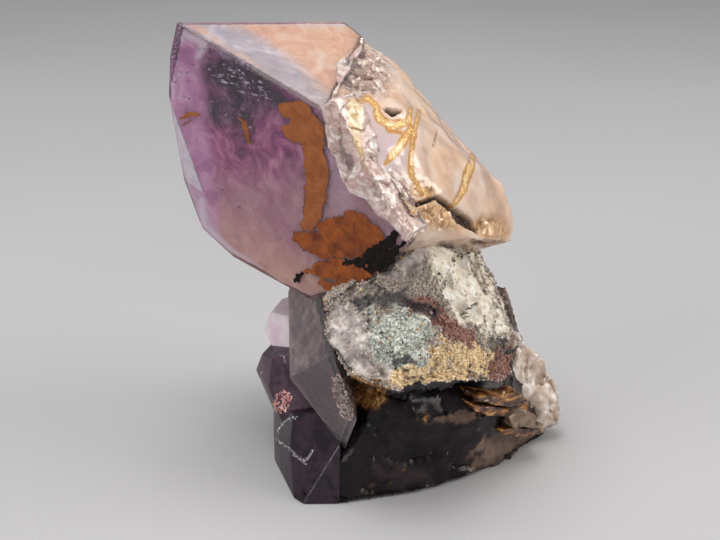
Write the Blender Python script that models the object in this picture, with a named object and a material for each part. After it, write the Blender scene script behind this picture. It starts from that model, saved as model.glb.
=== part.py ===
"""Amethyst specimen: crystals grown together, standing on a flat broken base.

One natural piece, so one node. The large amethyst point leans out at the upper left, a smooth
quartz body runs down to the right of it, a crusted broken block sits under both, and smaller
crystals and a broad base carry them. X runs right, Y runs back and Z runs up. The origin is on
the base plane under the middle of the bounding box.
"""
import bmesh
import bpy
from mathutils import Vector, noise

MM = 0.001
SPECIMEN_NAME = "amethyst_specimen"

# Driving dimensions, in millimetres
SPECIMEN_HEIGHT = 96.5
BASE_PLANE = 0.0
START_BLOCK = 200.0
FLOOR_BLOCK = 150.0
SAME_PLANE = 0.01

# Broken surfaces: edges are split down to this length, and two waves of noise move them
ROUGH_EDGE = 5.5
FINE_WAVE_SHARE = 0.5
FINE_WAVE_RATE = 2.3
INWARD_SHIFT = 0.45
SEED_STEP = Vector((3.1, 1.7, 2.3))

AMETHYST_COLOUR = (0.34, 0.22, 0.36, 1.0)
AMETHYST_ROUGHNESS = 0.12

# Where the bounding box centre lies in the coordinates that the points below are given in
ORIGIN_X = 4.25
ORIGIN_Y = -3.2

# The large point: its tip and the corners that its facets run through
TIP = Vector((-36.3, -2.0, SPECIMEN_HEIGHT))
FRONT_EDGE_END = Vector((-7.0, -24.0, 84.3))
TOP_EDGE_END = Vector((-3.3, 10.0, 94.4))
TOP_CORNER = Vector((0.2, 6.3, 92.6))
LEFT_SHOULDER = Vector((-38.5, 0.7, 89.0))
LEFT_EDGE = Vector((-39.5, 2.5, 80.7))
LEFT_BACK_EDGE = Vector((-38.2, 8.0, 60.6))
LEFT_KNEE = Vector((-32.9, -0.3, 60.1))
LEFT_KNEE_END = Vector((-27.2, -3.6, 48.2))
LOWER_LEFT = Vector((-34.5, 2.0, 51.2))
LOWER_LEFT_BACK = Vector((-35.2, 7.2, 49.4))
LOWER_FRONT = Vector((-14.8, -12.9, 44.1))
LOWEST_CORNER = Vector((-9.8, -16.8, 42.7))
LOWER_RIGHT = Vector((-3.0, -22.9, 47.7))
RIGHT_FRONT = Vector((9.2, -33.6, 61.5))


def mm_point(point):
    """A point given in millimetres, moved to the origin under the middle of the object, in metres."""
    x, y, z = point
    return Vector((x - ORIGIN_X, y - ORIGIN_Y, z)) * MM


def remove_scene_objects():
    for old in list(bpy.data.objects):
        bpy.data.objects.remove(old, do_unlink=True)


def add_object(name, mesh_builder):
    mesh = bpy.data.meshes.new(name)
    mesh_builder.to_mesh(mesh)
    mesh_builder.free()
    made = bpy.data.objects.new(name, mesh)
    bpy.context.scene.collection.objects.link(made)
    return made


def cut_crystal(name, inside, facets):
    """A block cut by one plane for each facet. A facet is three points, and inside stays solid."""
    builder = bmesh.new()
    bmesh.ops.create_cube(builder, size=START_BLOCK * MM)
    bmesh.ops.translate(builder, verts=builder.verts, vec=mm_point(inside))
    for corner_a, corner_b, corner_c in facets:
        normal = (Vector(corner_b) - Vector(corner_a)).cross(Vector(corner_c) - Vector(corner_a))
        normal.normalize()
        if normal.dot(Vector(inside) - Vector(corner_a)) > 0.0:
            normal.negate()
        cut = bmesh.ops.bisect_plane(
            builder, geom=builder.verts[:] + builder.edges[:] + builder.faces[:],
            plane_co=mm_point(corner_a), plane_no=normal, clear_outer=True, dist=SAME_PLANE * MM)
        rim = [part for part in cut["geom_cut"] if isinstance(part, bmesh.types.BMEdge)]
        if rim:
            bmesh.ops.contextual_create(builder, geom=rim)
    bmesh.ops.recalc_face_normals(builder, faces=builder.faces)
    return add_object(name, builder)


def hull_builder(points):
    builder = bmesh.new()
    for point in points:
        builder.verts.new(mm_point(point))
    made = bmesh.ops.convex_hull(builder, input=builder.verts)
    loose = [part for part in made["geom_interior"] if isinstance(part, bmesh.types.BMVert)]
    bmesh.ops.delete(builder, geom=loose, context="VERTS")
    return builder


def broken_block(name, points, depth, grain, seed):
    """A convex lump whose surface is broken up: depth and grain are in millimetres."""
    builder = hull_builder(points)
    while True:
        long_edges = [edge for edge in builder.edges if edge.calc_length() > ROUGH_EDGE * MM]
        if not long_edges:
            break
        bmesh.ops.subdivide_edges(builder, edges=long_edges, cuts=1)
        bmesh.ops.triangulate(builder, faces=builder.faces)
    builder.normal_update()
    offset = SEED_STEP * seed
    moves = []
    for vertex in builder.verts:
        place = vertex.co / (grain * MM) + offset
        lift = noise.noise(place) + FINE_WAVE_SHARE * noise.noise(place * FINE_WAVE_RATE)
        moves.append(vertex.normal * (lift - INWARD_SHIFT) * depth * MM)
    for vertex, move in zip(builder.verts, moves):
        vertex.co += move
    return add_object(name, builder)


def large_point():
    backwards = Vector((4.0, 10.0, 0.0))
    return cut_crystal("large_point", (-18.0, 0.0, 68.0), (
        (TIP, FRONT_EDGE_END, TOP_EDGE_END),
        (TIP, FRONT_EDGE_END, LOWER_LEFT),
        (TIP, TOP_EDGE_END, LEFT_SHOULDER),
        (LEFT_SHOULDER, LEFT_EDGE, LEFT_EDGE + backwards),
        (LEFT_EDGE, LEFT_KNEE, LEFT_BACK_EDGE),
        (LEFT_EDGE, LEFT_BACK_EDGE, LEFT_BACK_EDGE + backwards),
        (LEFT_KNEE, LEFT_KNEE_END, LEFT_BACK_EDGE),
        (LEFT_BACK_EDGE, LOWER_LEFT_BACK, LOWER_LEFT_BACK + backwards),
        (LOWER_LEFT_BACK, LOWER_FRONT, (-20.0, 20.0, 46.0)),
        (LOWEST_CORNER, LOWER_RIGHT, (-6.0, 10.0, 44.0)),
        (LOWER_RIGHT, (6.0, -32.0, 58.0), (10.0, 6.0, 50.0)),
        (FRONT_EDGE_END, RIGHT_FRONT, TOP_CORNER),
        (TOP_EDGE_END, (10.0, 4.0, 78.0), (4.0, 24.0, 70.0)),
        ((-30.0, 21.0, 60.0), (0.0, 22.0, 60.0), (-10.0, 20.0, 80.0)),
    ))


def quartz_body():
    return broken_block("quartz_body", (
        (0.2, 6.0, 92.6), (5.6, 5.0, 88.1), (-5.1, -7.2, 88.9), (-6.6, -23.5, 83.8),
        (9.7, -14.0, 82.8), (11.7, 0.0, 79.2), (22.1, 0.0, 69.9), (30.4, 0.0, 62.7),
        (31.0, -4.0, 58.7), (33.2, -4.0, 54.9), (32.0, -6.0, 51.4), (19.9, -12.0, 71.1),
        (15.2, -25.0, 67.7), (7.4, -30.0, 71.7), (10.2, -32.5, 67.0), (9.4, -32.0, 60.9),
        (18.3, -25.0, 61.1), (24.5, -18.0, 56.1), (24.5, -16.0, 50.0), (10.0, -24.0, 46.0),
        (0.0, 22.0, 88.0), (12.0, 19.0, 76.0), (26.0, 15.0, 62.0), (30.0, 11.0, 50.0),
        (24.0, 18.0, 40.0), (-2.0, 27.0, 62.0), (-4.0, 25.0, 42.0), (2.0, -10.0, 42.0),
    ), depth=1.1, grain=9.0, seed=1)


def crusted_block():
    return broken_block("crusted_block", (
        (-7.4, -25.5, 46.5), (-2.0, -25.5, 49.8), (7.6, -26.5, 60.4), (13.4, -25.0, 60.7),
        (21.8, -19.0, 54.7), (26.5, -15.0, 45.5), (30.4, -12.0, 36.3), (34.4, -8.0, 28.5),
        (33.1, -12.0, 23.4), (29.2, -19.0, 24.6), (22.1, -27.0, 29.2), (13.7, -32.5, 32.0),
        (6.8, -35.0, 30.9), (1.9, -34.0, 33.4), (-3.4, -32.5, 33.4), (-7.6, -28.5, 41.2),
        (-4.0, -18.0, 30.0), (8.0, -18.0, 22.0), (28.0, -6.0, 20.0), (-8.0, 22.0, 44.0),
        (10.0, 24.0, 50.0), (28.0, 12.0, 44.0), (34.0, 6.0, 28.0), (-6.0, 10.0, 24.0),
    ), depth=1.3, grain=5.0, seed=2)


def side_prism():
    """The grey point under the large one: an upright left edge, an upper and a lower face."""
    upper_left = (-15.2, -8.0, 40.9)
    lower_left = (-14.6, -18.0, 25.7)
    ridge_end = (-5.3, -28.0, 36.6)
    foot = (-3.1, -24.0, 12.1)
    return cut_crystal("side_prism", (-4.0, -5.0, 30.0), (
        (upper_left, lower_left, ridge_end),
        (lower_left, ridge_end, foot),
        (upper_left, lower_left, (-13.0, 14.0, 33.0)),
        (upper_left, (-5.0, -18.0, 46.0), (-10.0, 10.0, 44.0)),
        (lower_left, foot, (-8.0, 4.0, 12.0)),
        (ridge_end, foot, (4.0, -20.0, 24.0)),
        ((8.0, -20.0, 20.0), (8.0, 10.0, 20.0), (8.0, 0.0, 40.0)),
        ((-10.0, 18.0, 20.0), (6.0, 18.0, 20.0), (0.0, 18.0, 40.0)),
    ))


def small_lilac_crystal():
    return cut_crystal("small_lilac_crystal", (-15.0, 5.0, 27.0), (
        ((-21.6, 4.0, 26.6), (-19.9, 3.0, 31.4), (-19.4, 10.0, 28.0)),
        ((-21.6, 4.0, 26.6), (-19.9, 3.0, 31.4), (-16.4, -2.0, 26.0)),
        ((-21.6, 4.0, 26.6), (-18.9, 0.5, 22.2), (-16.4, -2.0, 26.0)),
        ((-21.6, 4.0, 26.6), (-18.9, 0.5, 22.2), (-19.0, 8.0, 21.0)),
        ((-19.9, 3.0, 31.4), (-15.0, 2.0, 32.4), (-16.0, 9.0, 32.0)),
        ((-15.0, 11.0, 20.0), (-18.0, 10.5, 27.0), (-8.0, 12.0, 30.0)),
        ((-18.9, 0.5, 21.0), (-12.0, 0.0, 20.0), (-14.0, 8.0, 20.0)),
        ((-6.0, 0.0, 20.0), (-6.0, 8.0, 20.0), (-6.0, 4.0, 34.0)),
    ))


def small_dark_crystal():
    return cut_crystal("small_dark_crystal", (-14.0, 0.0, 17.0), (
        ((-23.5, 1.0, 18.0), (-21.8, -1.0, 23.0), (-20.0, -6.0, 17.0)),
        ((-23.5, 1.0, 18.0), (-21.8, -1.0, 23.0), (-20.0, 7.0, 20.0)),
        ((-23.5, 1.0, 18.0), (-20.0, -6.0, 17.0), (-19.0, -5.0, 10.4)),
        ((-23.5, 1.0, 18.0), (-19.0, -5.0, 10.4), (-19.0, 6.0, 10.0)),
        ((-21.8, -1.0, 23.0), (-17.0, -4.0, 25.0), (-17.0, 6.0, 25.0)),
        ((-20.0, -6.0, 17.0), (-14.5, -9.0, 20.5), (-15.0, -10.0, 11.0)),
        ((-19.0, -5.0, 10.4), (-15.0, -10.0, 10.0), (-14.0, 5.0, 8.0)),
        ((-18.0, 9.0, 16.0), (-10.0, 11.0, 16.0), (-14.0, 10.0, 24.0)),
        ((-5.0, 0.0, 10.0), (-5.0, 8.0, 10.0), (-5.0, 4.0, 24.0)),
    ))


def dark_foot_crystal():
    """The dark point at the lower left: its front face leans back to a bright ridge."""
    ridge_left = (-19.5, -4.0, 6.0)
    ridge_middle = (-15.1, -16.0, 8.4)
    top_left = (-17.8, -6.0, 12.0)
    return cut_crystal("dark_foot_crystal", (-10.0, -10.0, 6.0), (
        (ridge_left, ridge_middle, (-16.2, -21.0, 0.0)),
        (ridge_left, ridge_middle, top_left),
        (ridge_left, (-19.4, -12.0, 0.0), (-18.5, 6.0, 3.0)),
        ((-16.2, -21.0, 0.0), (-12.6, -26.0, 0.0), (-13.0, -21.0, 9.0)),
        ((-12.6, -26.2, 0.0), (-3.0, -26.4, 0.0), (-8.0, -24.5, 12.0)),
        (top_left, (-13.6, -13.0, 14.5), (-8.0, -6.0, 16.0)),
        (ridge_middle, (-13.6, -13.0, 14.5), (-6.0, -24.0, 11.0)),
        ((-18.0, 8.0, 6.0), (-8.0, 10.0, 6.0), (-12.0, 9.0, 14.0)),
        ((2.0, -20.0, 4.0), (2.0, 0.0, 4.0), (2.0, 0.0, 12.0)),
        ((-10.0, 0.0, -3.0), (0.0, 0.0, -3.0), (0.0, -8.0, -3.0)),
    ))


def back_growth():
    """Broken quartz that fills the back between the large point and the base."""
    return broken_block("back_growth", (
        (-16.0, 18.0, 46.0), (-12.0, 23.0, 66.0), (4.0, 25.0, 74.0), (20.0, 20.0, 62.0),
        (24.0, 22.0, 40.0), (4.0, 28.5, 46.0), (-14.0, 22.0, 30.0), (12.0, 28.0, 24.0),
        (0.0, -6.0, 60.0), (-8.0, -6.0, 34.0), (14.0, -6.0, 40.0),
    ), depth=1.2, grain=8.0, seed=3)


def base_mass():
    return broken_block("base_mass", (
        (-12.6, -26.0, -2.0), (-3.0, -26.6, -2.0), (12.8, -22.6, -2.0), (23.9, -16.6, -2.0),
        (36.0, -6.6, -2.0), (44.0, 2.0, -2.0), (42.0, 14.0, -2.0), (28.0, 24.0, -2.0),
        (4.0, 28.0, -2.0), (-12.0, 20.0, -2.0), (-17.0, 4.0, -2.0), (-2.0, -26.0, 12.0),
        (12.4, -22.6, 18.0), (25.3, -18.0, 17.0), (34.9, -10.0, 13.8), (43.0, 0.0, 6.0),
        (40.0, 12.0, 18.0), (34.0, 14.0, 34.0), (20.0, 25.0, 34.0), (-2.0, 27.0, 36.0),
        (-12.0, 18.0, 24.0), (6.0, -18.0, 30.0), (28.0, -8.0, 30.0), (-12.0, 0.0, 30.0),
    ), depth=1.0, grain=12.0, seed=4)


def right_wing():
    """The pale thin lobe at the lower right."""
    return broken_block("right_wing", (
        (34.8, 3.0, 28.0), (36.2, 0.5, 26.6), (42.0, 2.0, 19.8), (45.6, 2.0, 13.6),
        (48.3, 3.0, 7.2), (47.3, 1.0, 3.2), (41.2, -1.0, 1.2), (35.1, -2.0, 10.9),
        (32.1, -6.0, 17.0), (33.0, 10.0, 28.0), (41.0, 11.0, 18.0), (46.0, 10.0, 7.0),
        (42.0, 12.0, 1.2), (30.0, 8.0, 4.0), (30.0, 4.0, 26.0),
    ), depth=0.9, grain=6.0, seed=5)


def floor_cutter():
    builder = bmesh.new()
    bmesh.ops.create_cube(builder, size=FLOOR_BLOCK * MM)
    below = Vector((0.0, 0.0, (BASE_PLANE - FLOOR_BLOCK / 2.0) * MM))
    bmesh.ops.translate(builder, verts=builder.verts, vec=below)
    return add_object("floor_cutter", builder)


def add_boolean(target, helper, operation):
    """The manifold solver is used because the exact one loses the base of this union."""
    helper.hide_render = True
    helper.display_type = "WIRE"
    step = target.modifiers.new(helper.name, "BOOLEAN")
    step.operation = operation
    step.solver = "MANIFOLD"
    step.object = helper


def amethyst_material():
    material = bpy.data.materials.new("amethyst")
    material.use_nodes = True
    shader = material.node_tree.nodes["Principled BSDF"]
    shader.inputs["Base Color"].default_value = AMETHYST_COLOUR
    shader.inputs["Roughness"].default_value = AMETHYST_ROUGHNESS
    shader.inputs["Metallic"].default_value = 0.0
    return material


def build_specimen():
    specimen = base_mass()
    specimen.name = SPECIMEN_NAME
    specimen.data.name = SPECIMEN_NAME
    grown_on = (back_growth, crusted_block, quartz_body, side_prism, large_point, small_lilac_crystal,
                small_dark_crystal, dark_foot_crystal, right_wing)
    for make_crystal in grown_on:
        add_boolean(specimen, make_crystal(), "UNION")
    add_boolean(specimen, floor_cutter(), "DIFFERENCE")
    specimen.data.materials.append(amethyst_material())


remove_scene_objects()
build_specimen()
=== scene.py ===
"""Looks of the amethyst specimen: its crystals, the inclusions sealed in them, crust and druse.

Points are in millimetres in the coordinates of the specimen's outline, whose bounding box centre
is at ORIGIN_X, ORIGIN_Y. Marks that the photograph shows are placed by pixel, in the 720 by 540
frame of the photograph's camera, and lie on the surface that the pixel's ray meets. A stroke is a
line through (column, row, half width) marks, and a patch is a turned ellipse of (column, row, half
width, half height, degrees).
"""
import math

import bmesh
import bpy
import numpy as np
from mathutils import Matrix, Vector, kdtree, noise


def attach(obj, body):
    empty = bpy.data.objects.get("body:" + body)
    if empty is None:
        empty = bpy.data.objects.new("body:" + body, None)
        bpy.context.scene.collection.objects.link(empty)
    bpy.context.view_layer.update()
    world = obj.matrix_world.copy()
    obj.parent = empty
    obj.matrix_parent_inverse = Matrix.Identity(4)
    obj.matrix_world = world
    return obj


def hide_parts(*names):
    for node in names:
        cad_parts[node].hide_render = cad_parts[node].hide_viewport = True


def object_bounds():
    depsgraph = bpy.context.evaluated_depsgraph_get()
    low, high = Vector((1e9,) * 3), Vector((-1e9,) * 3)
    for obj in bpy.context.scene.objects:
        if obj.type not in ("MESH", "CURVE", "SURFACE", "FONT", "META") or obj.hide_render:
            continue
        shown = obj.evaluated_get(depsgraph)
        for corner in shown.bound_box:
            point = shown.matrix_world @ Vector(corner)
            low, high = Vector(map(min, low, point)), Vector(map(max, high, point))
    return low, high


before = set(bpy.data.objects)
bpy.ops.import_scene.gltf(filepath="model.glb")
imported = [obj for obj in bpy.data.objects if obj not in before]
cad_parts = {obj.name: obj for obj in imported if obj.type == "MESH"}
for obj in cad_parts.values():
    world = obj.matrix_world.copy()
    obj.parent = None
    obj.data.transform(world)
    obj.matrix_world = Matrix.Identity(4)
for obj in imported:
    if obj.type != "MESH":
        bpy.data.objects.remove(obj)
CAD_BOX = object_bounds()

MM = 0.001
SPECIMEN_NODE = "amethyst_specimen"
BODY = "root"
BOX_LOW, BOX_HIGH = (np.array(corner) for corner in CAD_BOX)

# A crystal is cut out of a block this wide, and cuts closer than SAME_PLANE share their corners
START_BLOCK = 200.0
SAME_PLANE = 0.01
TINY = 1e-9

QUARTZ_IOR = 1.544
# How far red, green and blue light spread in clouded quartz, as shares of the scale
QUARTZ_SCATTER = (1.0, 0.92, 0.86)

# Where the outline's coordinates have the middle of the bounding box
ORIGIN_X = 4.25
ORIGIN_Y = -3.2

# The photograph's camera, in millimetres, radians and pixels
CAMERA_PITCH = math.radians(22.0)
CAMERA_DISTANCE = 260.0
CAMERA_AIM_HEIGHT = 42.7
CAMERA_LENS = 60.0
SENSOR_WIDTH = 36.0
PHOTO_WIDTH = 720
PHOTO_HEIGHT = 540
FOCAL_PIXELS = CAMERA_LENS / SENSOR_WIDTH * PHOTO_WIDTH
CAMERA_RIGHT = Vector((1.0, 0.0, 0.0))
CAMERA_FORWARD = Vector((0.0, math.cos(CAMERA_PITCH), -math.sin(CAMERA_PITCH)))
CAMERA_UP = Vector((0.0, math.sin(CAMERA_PITCH), math.cos(CAMERA_PITCH)))

# The large point: its tip and the corners that its facets run through
TIP = Vector((-36.3, -2.0, 96.5))
FRONT_EDGE_END = Vector((-7.0, -24.0, 84.3))
TOP_EDGE_END = Vector((-3.3, 10.0, 94.4))
TOP_CORNER = Vector((0.2, 6.3, 92.6))
LEFT_SHOULDER = Vector((-38.5, 0.7, 89.0))
LEFT_EDGE = Vector((-39.5, 2.5, 80.7))
LEFT_BACK_EDGE = Vector((-38.2, 8.0, 60.6))
LEFT_KNEE = Vector((-32.9, -0.3, 60.1))
LEFT_KNEE_END = Vector((-27.2, -3.6, 48.2))
LOWER_LEFT = Vector((-34.5, 2.0, 51.2))
LOWER_LEFT_BACK = Vector((-35.2, 7.2, 49.4))
LOWER_FRONT = Vector((-14.8, -12.9, 44.1))
LOWEST_CORNER = Vector((-9.8, -16.8, 42.7))
LOWER_RIGHT = Vector((-3.0, -22.9, 47.7))
RIGHT_FRONT = Vector((9.2, -33.6, 61.5))


def mm_point(point):
    """A point of the outline, moved to the origin under the middle of the specimen, in metres."""
    x, y, z = point
    return Vector((x - ORIGIN_X, y - ORIGIN_Y, z)) * MM


CAMERA_PLACE = mm_point(Vector((0.0, 0.0, CAMERA_AIM_HEIGHT)) - CAMERA_DISTANCE * CAMERA_FORWARD)


def photo_pixels(points):
    """The photograph's pixel column and row of each point, as two arrays."""
    away = np.asarray(points) - np.array(CAMERA_PLACE)
    depth = away @ np.array(CAMERA_FORWARD)
    column = PHOTO_WIDTH / 2 + FOCAL_PIXELS * away[:, 0] / depth
    row = PHOTO_HEIGHT / 2 - FOCAL_PIXELS * (away @ np.array(CAMERA_UP)) / depth
    return column, row


def pixel_ray(column, row):
    across = (column - PHOTO_WIDTH / 2) / FOCAL_PIXELS
    above = (PHOTO_HEIGHT / 2 - row) / FOCAL_PIXELS
    return (CAMERA_FORWARD + CAMERA_RIGHT * across + CAMERA_UP * above).normalized()


def pixel_on_plane(column, row, point, normal):
    """The point, in metres, where a pixel's ray meets a plane given in metres."""
    ray = pixel_ray(column, row)
    return CAMERA_PLACE + ray * ((point - CAMERA_PLACE).dot(normal) / ray.dot(normal))


def pixel_in_patch(rng, patch):
    """A random pixel of a patch."""
    centre_column, centre_row, half_width, half_height, turn = patch
    cosine, sine = math.cos(math.radians(turn)), math.sin(math.radians(turn))
    reach, angle = math.sqrt(rng.random()), rng.uniform(0.0, math.tau)
    across = reach * math.cos(angle) * half_width
    down = reach * math.sin(angle) * half_height
    return (centre_column + across * cosine - down * sine,
            centre_row + across * sine + down * cosine)


# Shapes

def add_object(name, data):
    made = bpy.data.objects.new(name, data)
    bpy.context.scene.collection.objects.link(made)
    return made


def add_mesh(name, vertices, faces):
    mesh = bpy.data.meshes.new(name)
    mesh.from_pydata([tuple(v) for v in vertices], [], faces)
    mesh.update()
    return add_object(name, mesh)


def add_built(name, builder):
    mesh = bpy.data.meshes.new(name)
    builder.to_mesh(mesh)
    builder.free()
    return add_object(name, mesh)


def facet_normal(corners, inside):
    """The outward unit normal of the facet through three corners."""
    corner_a, corner_b, corner_c = (Vector(corner) for corner in corners)
    normal = (corner_b - corner_a).cross(corner_c - corner_a).normalized()
    if normal.dot(Vector(inside) - corner_a) > 0.0:
        normal.negate()
    return normal


def cut_block(inside, facets, insets=None):
    """A convex solid with one plane for each facet, or an inset of millimetres inside it.

    Its faces carry the facet's number.
    """
    builder = bmesh.new()
    number = builder.faces.layers.int.new("facet")
    bmesh.ops.create_cube(builder, size=START_BLOCK * MM)
    bmesh.ops.translate(builder, verts=builder.verts, vec=mm_point(inside))
    for index, corners in enumerate(facets):
        normal = facet_normal(corners, inside)
        inset = insets[index] if insets else 0.0
        cut = bmesh.ops.bisect_plane(
            builder, geom=builder.verts[:] + builder.edges[:] + builder.faces[:],
            plane_co=mm_point(Vector(corners[0]) - normal * inset), plane_no=normal,
            clear_outer=True, dist=SAME_PLANE * MM)
        rim = [part for part in cut["geom_cut"] if isinstance(part, bmesh.types.BMEdge)]
        if rim:
            for part in bmesh.ops.contextual_create(builder, geom=rim)["faces"]:
                part[number] = index
    bmesh.ops.recalc_face_normals(builder, faces=builder.faces)
    return builder


def hull_block(points):
    builder = bmesh.new()
    for point in points:
        builder.verts.new(mm_point(point))
    made = bmesh.ops.convex_hull(builder, input=builder.verts)
    loose = [part for part in made["geom_interior"] if isinstance(part, bmesh.types.BMVert)]
    bmesh.ops.delete(builder, geom=loose, context="VERTS")
    return builder


def slab(name, place, normal, outline, front, back):
    """A plate on a plane, its outline in pixels, from front to back millimetres along normal."""
    builder = bmesh.new()
    face, rear = ([builder.verts.new(pixel_on_plane(c, r, place, normal) + normal * level * MM)
                   for c, r in outline] for level in (front, back))
    builder.faces.new(face)
    builder.faces.new(rear[::-1])
    for start in range(len(outline)):
        end = (start + 1) % len(outline)
        builder.faces.new((face[end], face[start], rear[start], rear[end]))
    bmesh.ops.triangulate(builder, faces=builder.faces)
    bmesh.ops.recalc_face_normals(builder, faces=builder.faces)
    return add_built(name, builder)


def modified(made, kind, **settings):
    """The object with one modifier applied to its mesh."""
    step = made.modifiers.new("step", kind)
    for key, value in settings.items():
        setattr(step, key, value)
    graph = bpy.context.evaluated_depsgraph_get()
    mesh = bpy.data.meshes.new_from_object(made.evaluated_get(graph))
    plain = made.data
    made.modifiers.clear()
    made.data = mesh
    bpy.data.meshes.remove(plain)
    return made


def remeshed(made, voxel):
    return modified(made, "REMESH", mode="VOXEL", voxel_size=voxel * MM)


def bevelled(made, width):
    return modified(made, "BEVEL", width=width * MM, segments=2, limit_method="ANGLE",
                    angle_limit=math.radians(8.0))


def surface_of(mesh):
    """The places and the normals of a mesh's vertices, as two arrays."""
    found = []
    for name in ("co", "normal"):
        flat = np.zeros(len(mesh.vertices) * 3)
        mesh.vertices.foreach_get(name, flat)
        found.append(flat.reshape(-1, 3))
    return found


def set_points(mesh, points):
    """Place the vertices, none of them outside the CAD model's box."""
    inside = np.clip(points, BOX_LOW, BOX_HIGH)
    mesh.vertices.foreach_set("co", inside.astype(np.float32).ravel())
    mesh.update()


def push_out(mesh, points, normals, lift):
    """Place each vertex lift millimetres along its normal."""
    set_points(mesh, points + normals * (lift[:, None] * MM))


def set_masks(mesh, masks):
    for name, values in masks.items():
        layer = mesh.attributes.new(name, "FLOAT", "POINT")
        layer.data.foreach_set("value", np.clip(values, 0.0, 1.0).astype(np.float32))


def noise_field(points, grain, seed, octaves=3):
    """Fractal noise at each point, about -1 to 1, with its largest lumps grain millimetres wide."""
    shift = Vector((seed * 7.31, seed * 3.77, seed * 5.13))
    scale = 1.0 / (grain * MM)
    return np.array([noise.fractal(Vector(p) * scale + shift, 1.0, 2.0, octaves) for p in points])


def shard_field(points, cell, tilt, step, seed):
    """Relief of a broken surface: each cell is a small plane with its own tilt and height, in mm."""
    rng = np.random.default_rng(seed)
    low = points.min(0) - cell * MM
    high = points.max(0) + cell * MM
    fewest = 8
    count = int(np.prod((high - low) / (cell * MM))) + fewest
    seeds = low + rng.random((count, 3)) * (high - low)
    tree = kdtree.KDTree(count)
    for index, seed_point in enumerate(seeds):
        tree.insert(seed_point, index)
    tree.balance()
    nearest = np.array([tree.find(p)[1] for p in points])
    leaning = rng.normal(size=(count, 3))
    leaning /= np.linalg.norm(leaning, axis=1)[:, None]
    heights = rng.random(count) * step
    away = points - seeds[nearest]
    return (away * leaning[nearest]).sum(1) / MM * tilt + heights[nearest]


def smooth_step(values, low, high):
    share = np.clip((values - low) / (high - low), 0.0, 1.0)
    return share * share * (3.0 - 2.0 * share)


def stroke_reach(column, row, strokes):
    """How many pixels inside the nearest stroke each place lies, and less than 0 outside."""
    best = np.full(len(column), -np.inf)
    for stroke in strokes:
        for (c0, r0, w0), (c1, r1, w1) in zip(stroke[:-1], stroke[1:]):
            run = np.array((c1 - c0, r1 - r0), float)
            share = ((column - c0) * run[0] + (row - r0) * run[1]) / max(run @ run, TINY)
            share = np.clip(share, 0.0, 1.0)
            gap = np.hypot(column - c0 - share * run[0], row - r0 - share * run[1])
            best = np.maximum(best, w0 + (w1 - w0) * share - gap)
    return best


def stroke_mask(column, row, strokes, soft):
    """1 on the strokes, fading out over soft pixels."""
    return smooth_step(stroke_reach(column, row, strokes), -soft, soft)


def patch_mask(column, row, patches, soft):
    """1 inside the patches, fading out over a share of their width."""
    best = np.zeros(len(column))
    for centre_column, centre_row, half_width, half_height, turn in patches:
        cosine, sine = math.cos(math.radians(turn)), math.sin(math.radians(turn))
        across = (column - centre_column) * cosine + (row - centre_row) * sine
        down = -(column - centre_column) * sine + (row - centre_row) * cosine
        reach = np.hypot(across / half_width, down / half_height)
        best = np.maximum(best, 1.0 - smooth_step(reach, 1.0 - soft, 1.0 + soft))
    return best


def facing_camera(points, normals):
    """1 where the surface faces the photograph's camera, 0 where it looks away."""
    towards = np.array(CAMERA_PLACE) - points
    towards /= np.linalg.norm(towards, axis=1)[:, None]
    return smooth_step((towards * normals).sum(1), 0.0, 0.25)


def finish_piece(made, *materials, slot="amethyst", sharp_from=None):
    """Give a piece its materials and body; its slot is not used.

    It is shaded smooth, with edges sharp from an angle in degrees, or flat without one.
    """
    if sharp_from:
        made.data.shade_smooth()
        made.data.set_sharp_from_angle(angle=math.radians(sharp_from))
    for material in materials:
        made.data.materials.append(material)
    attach(made, BODY)
    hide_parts(SPECIMEN_NODE)
    return made


# Materials

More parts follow.
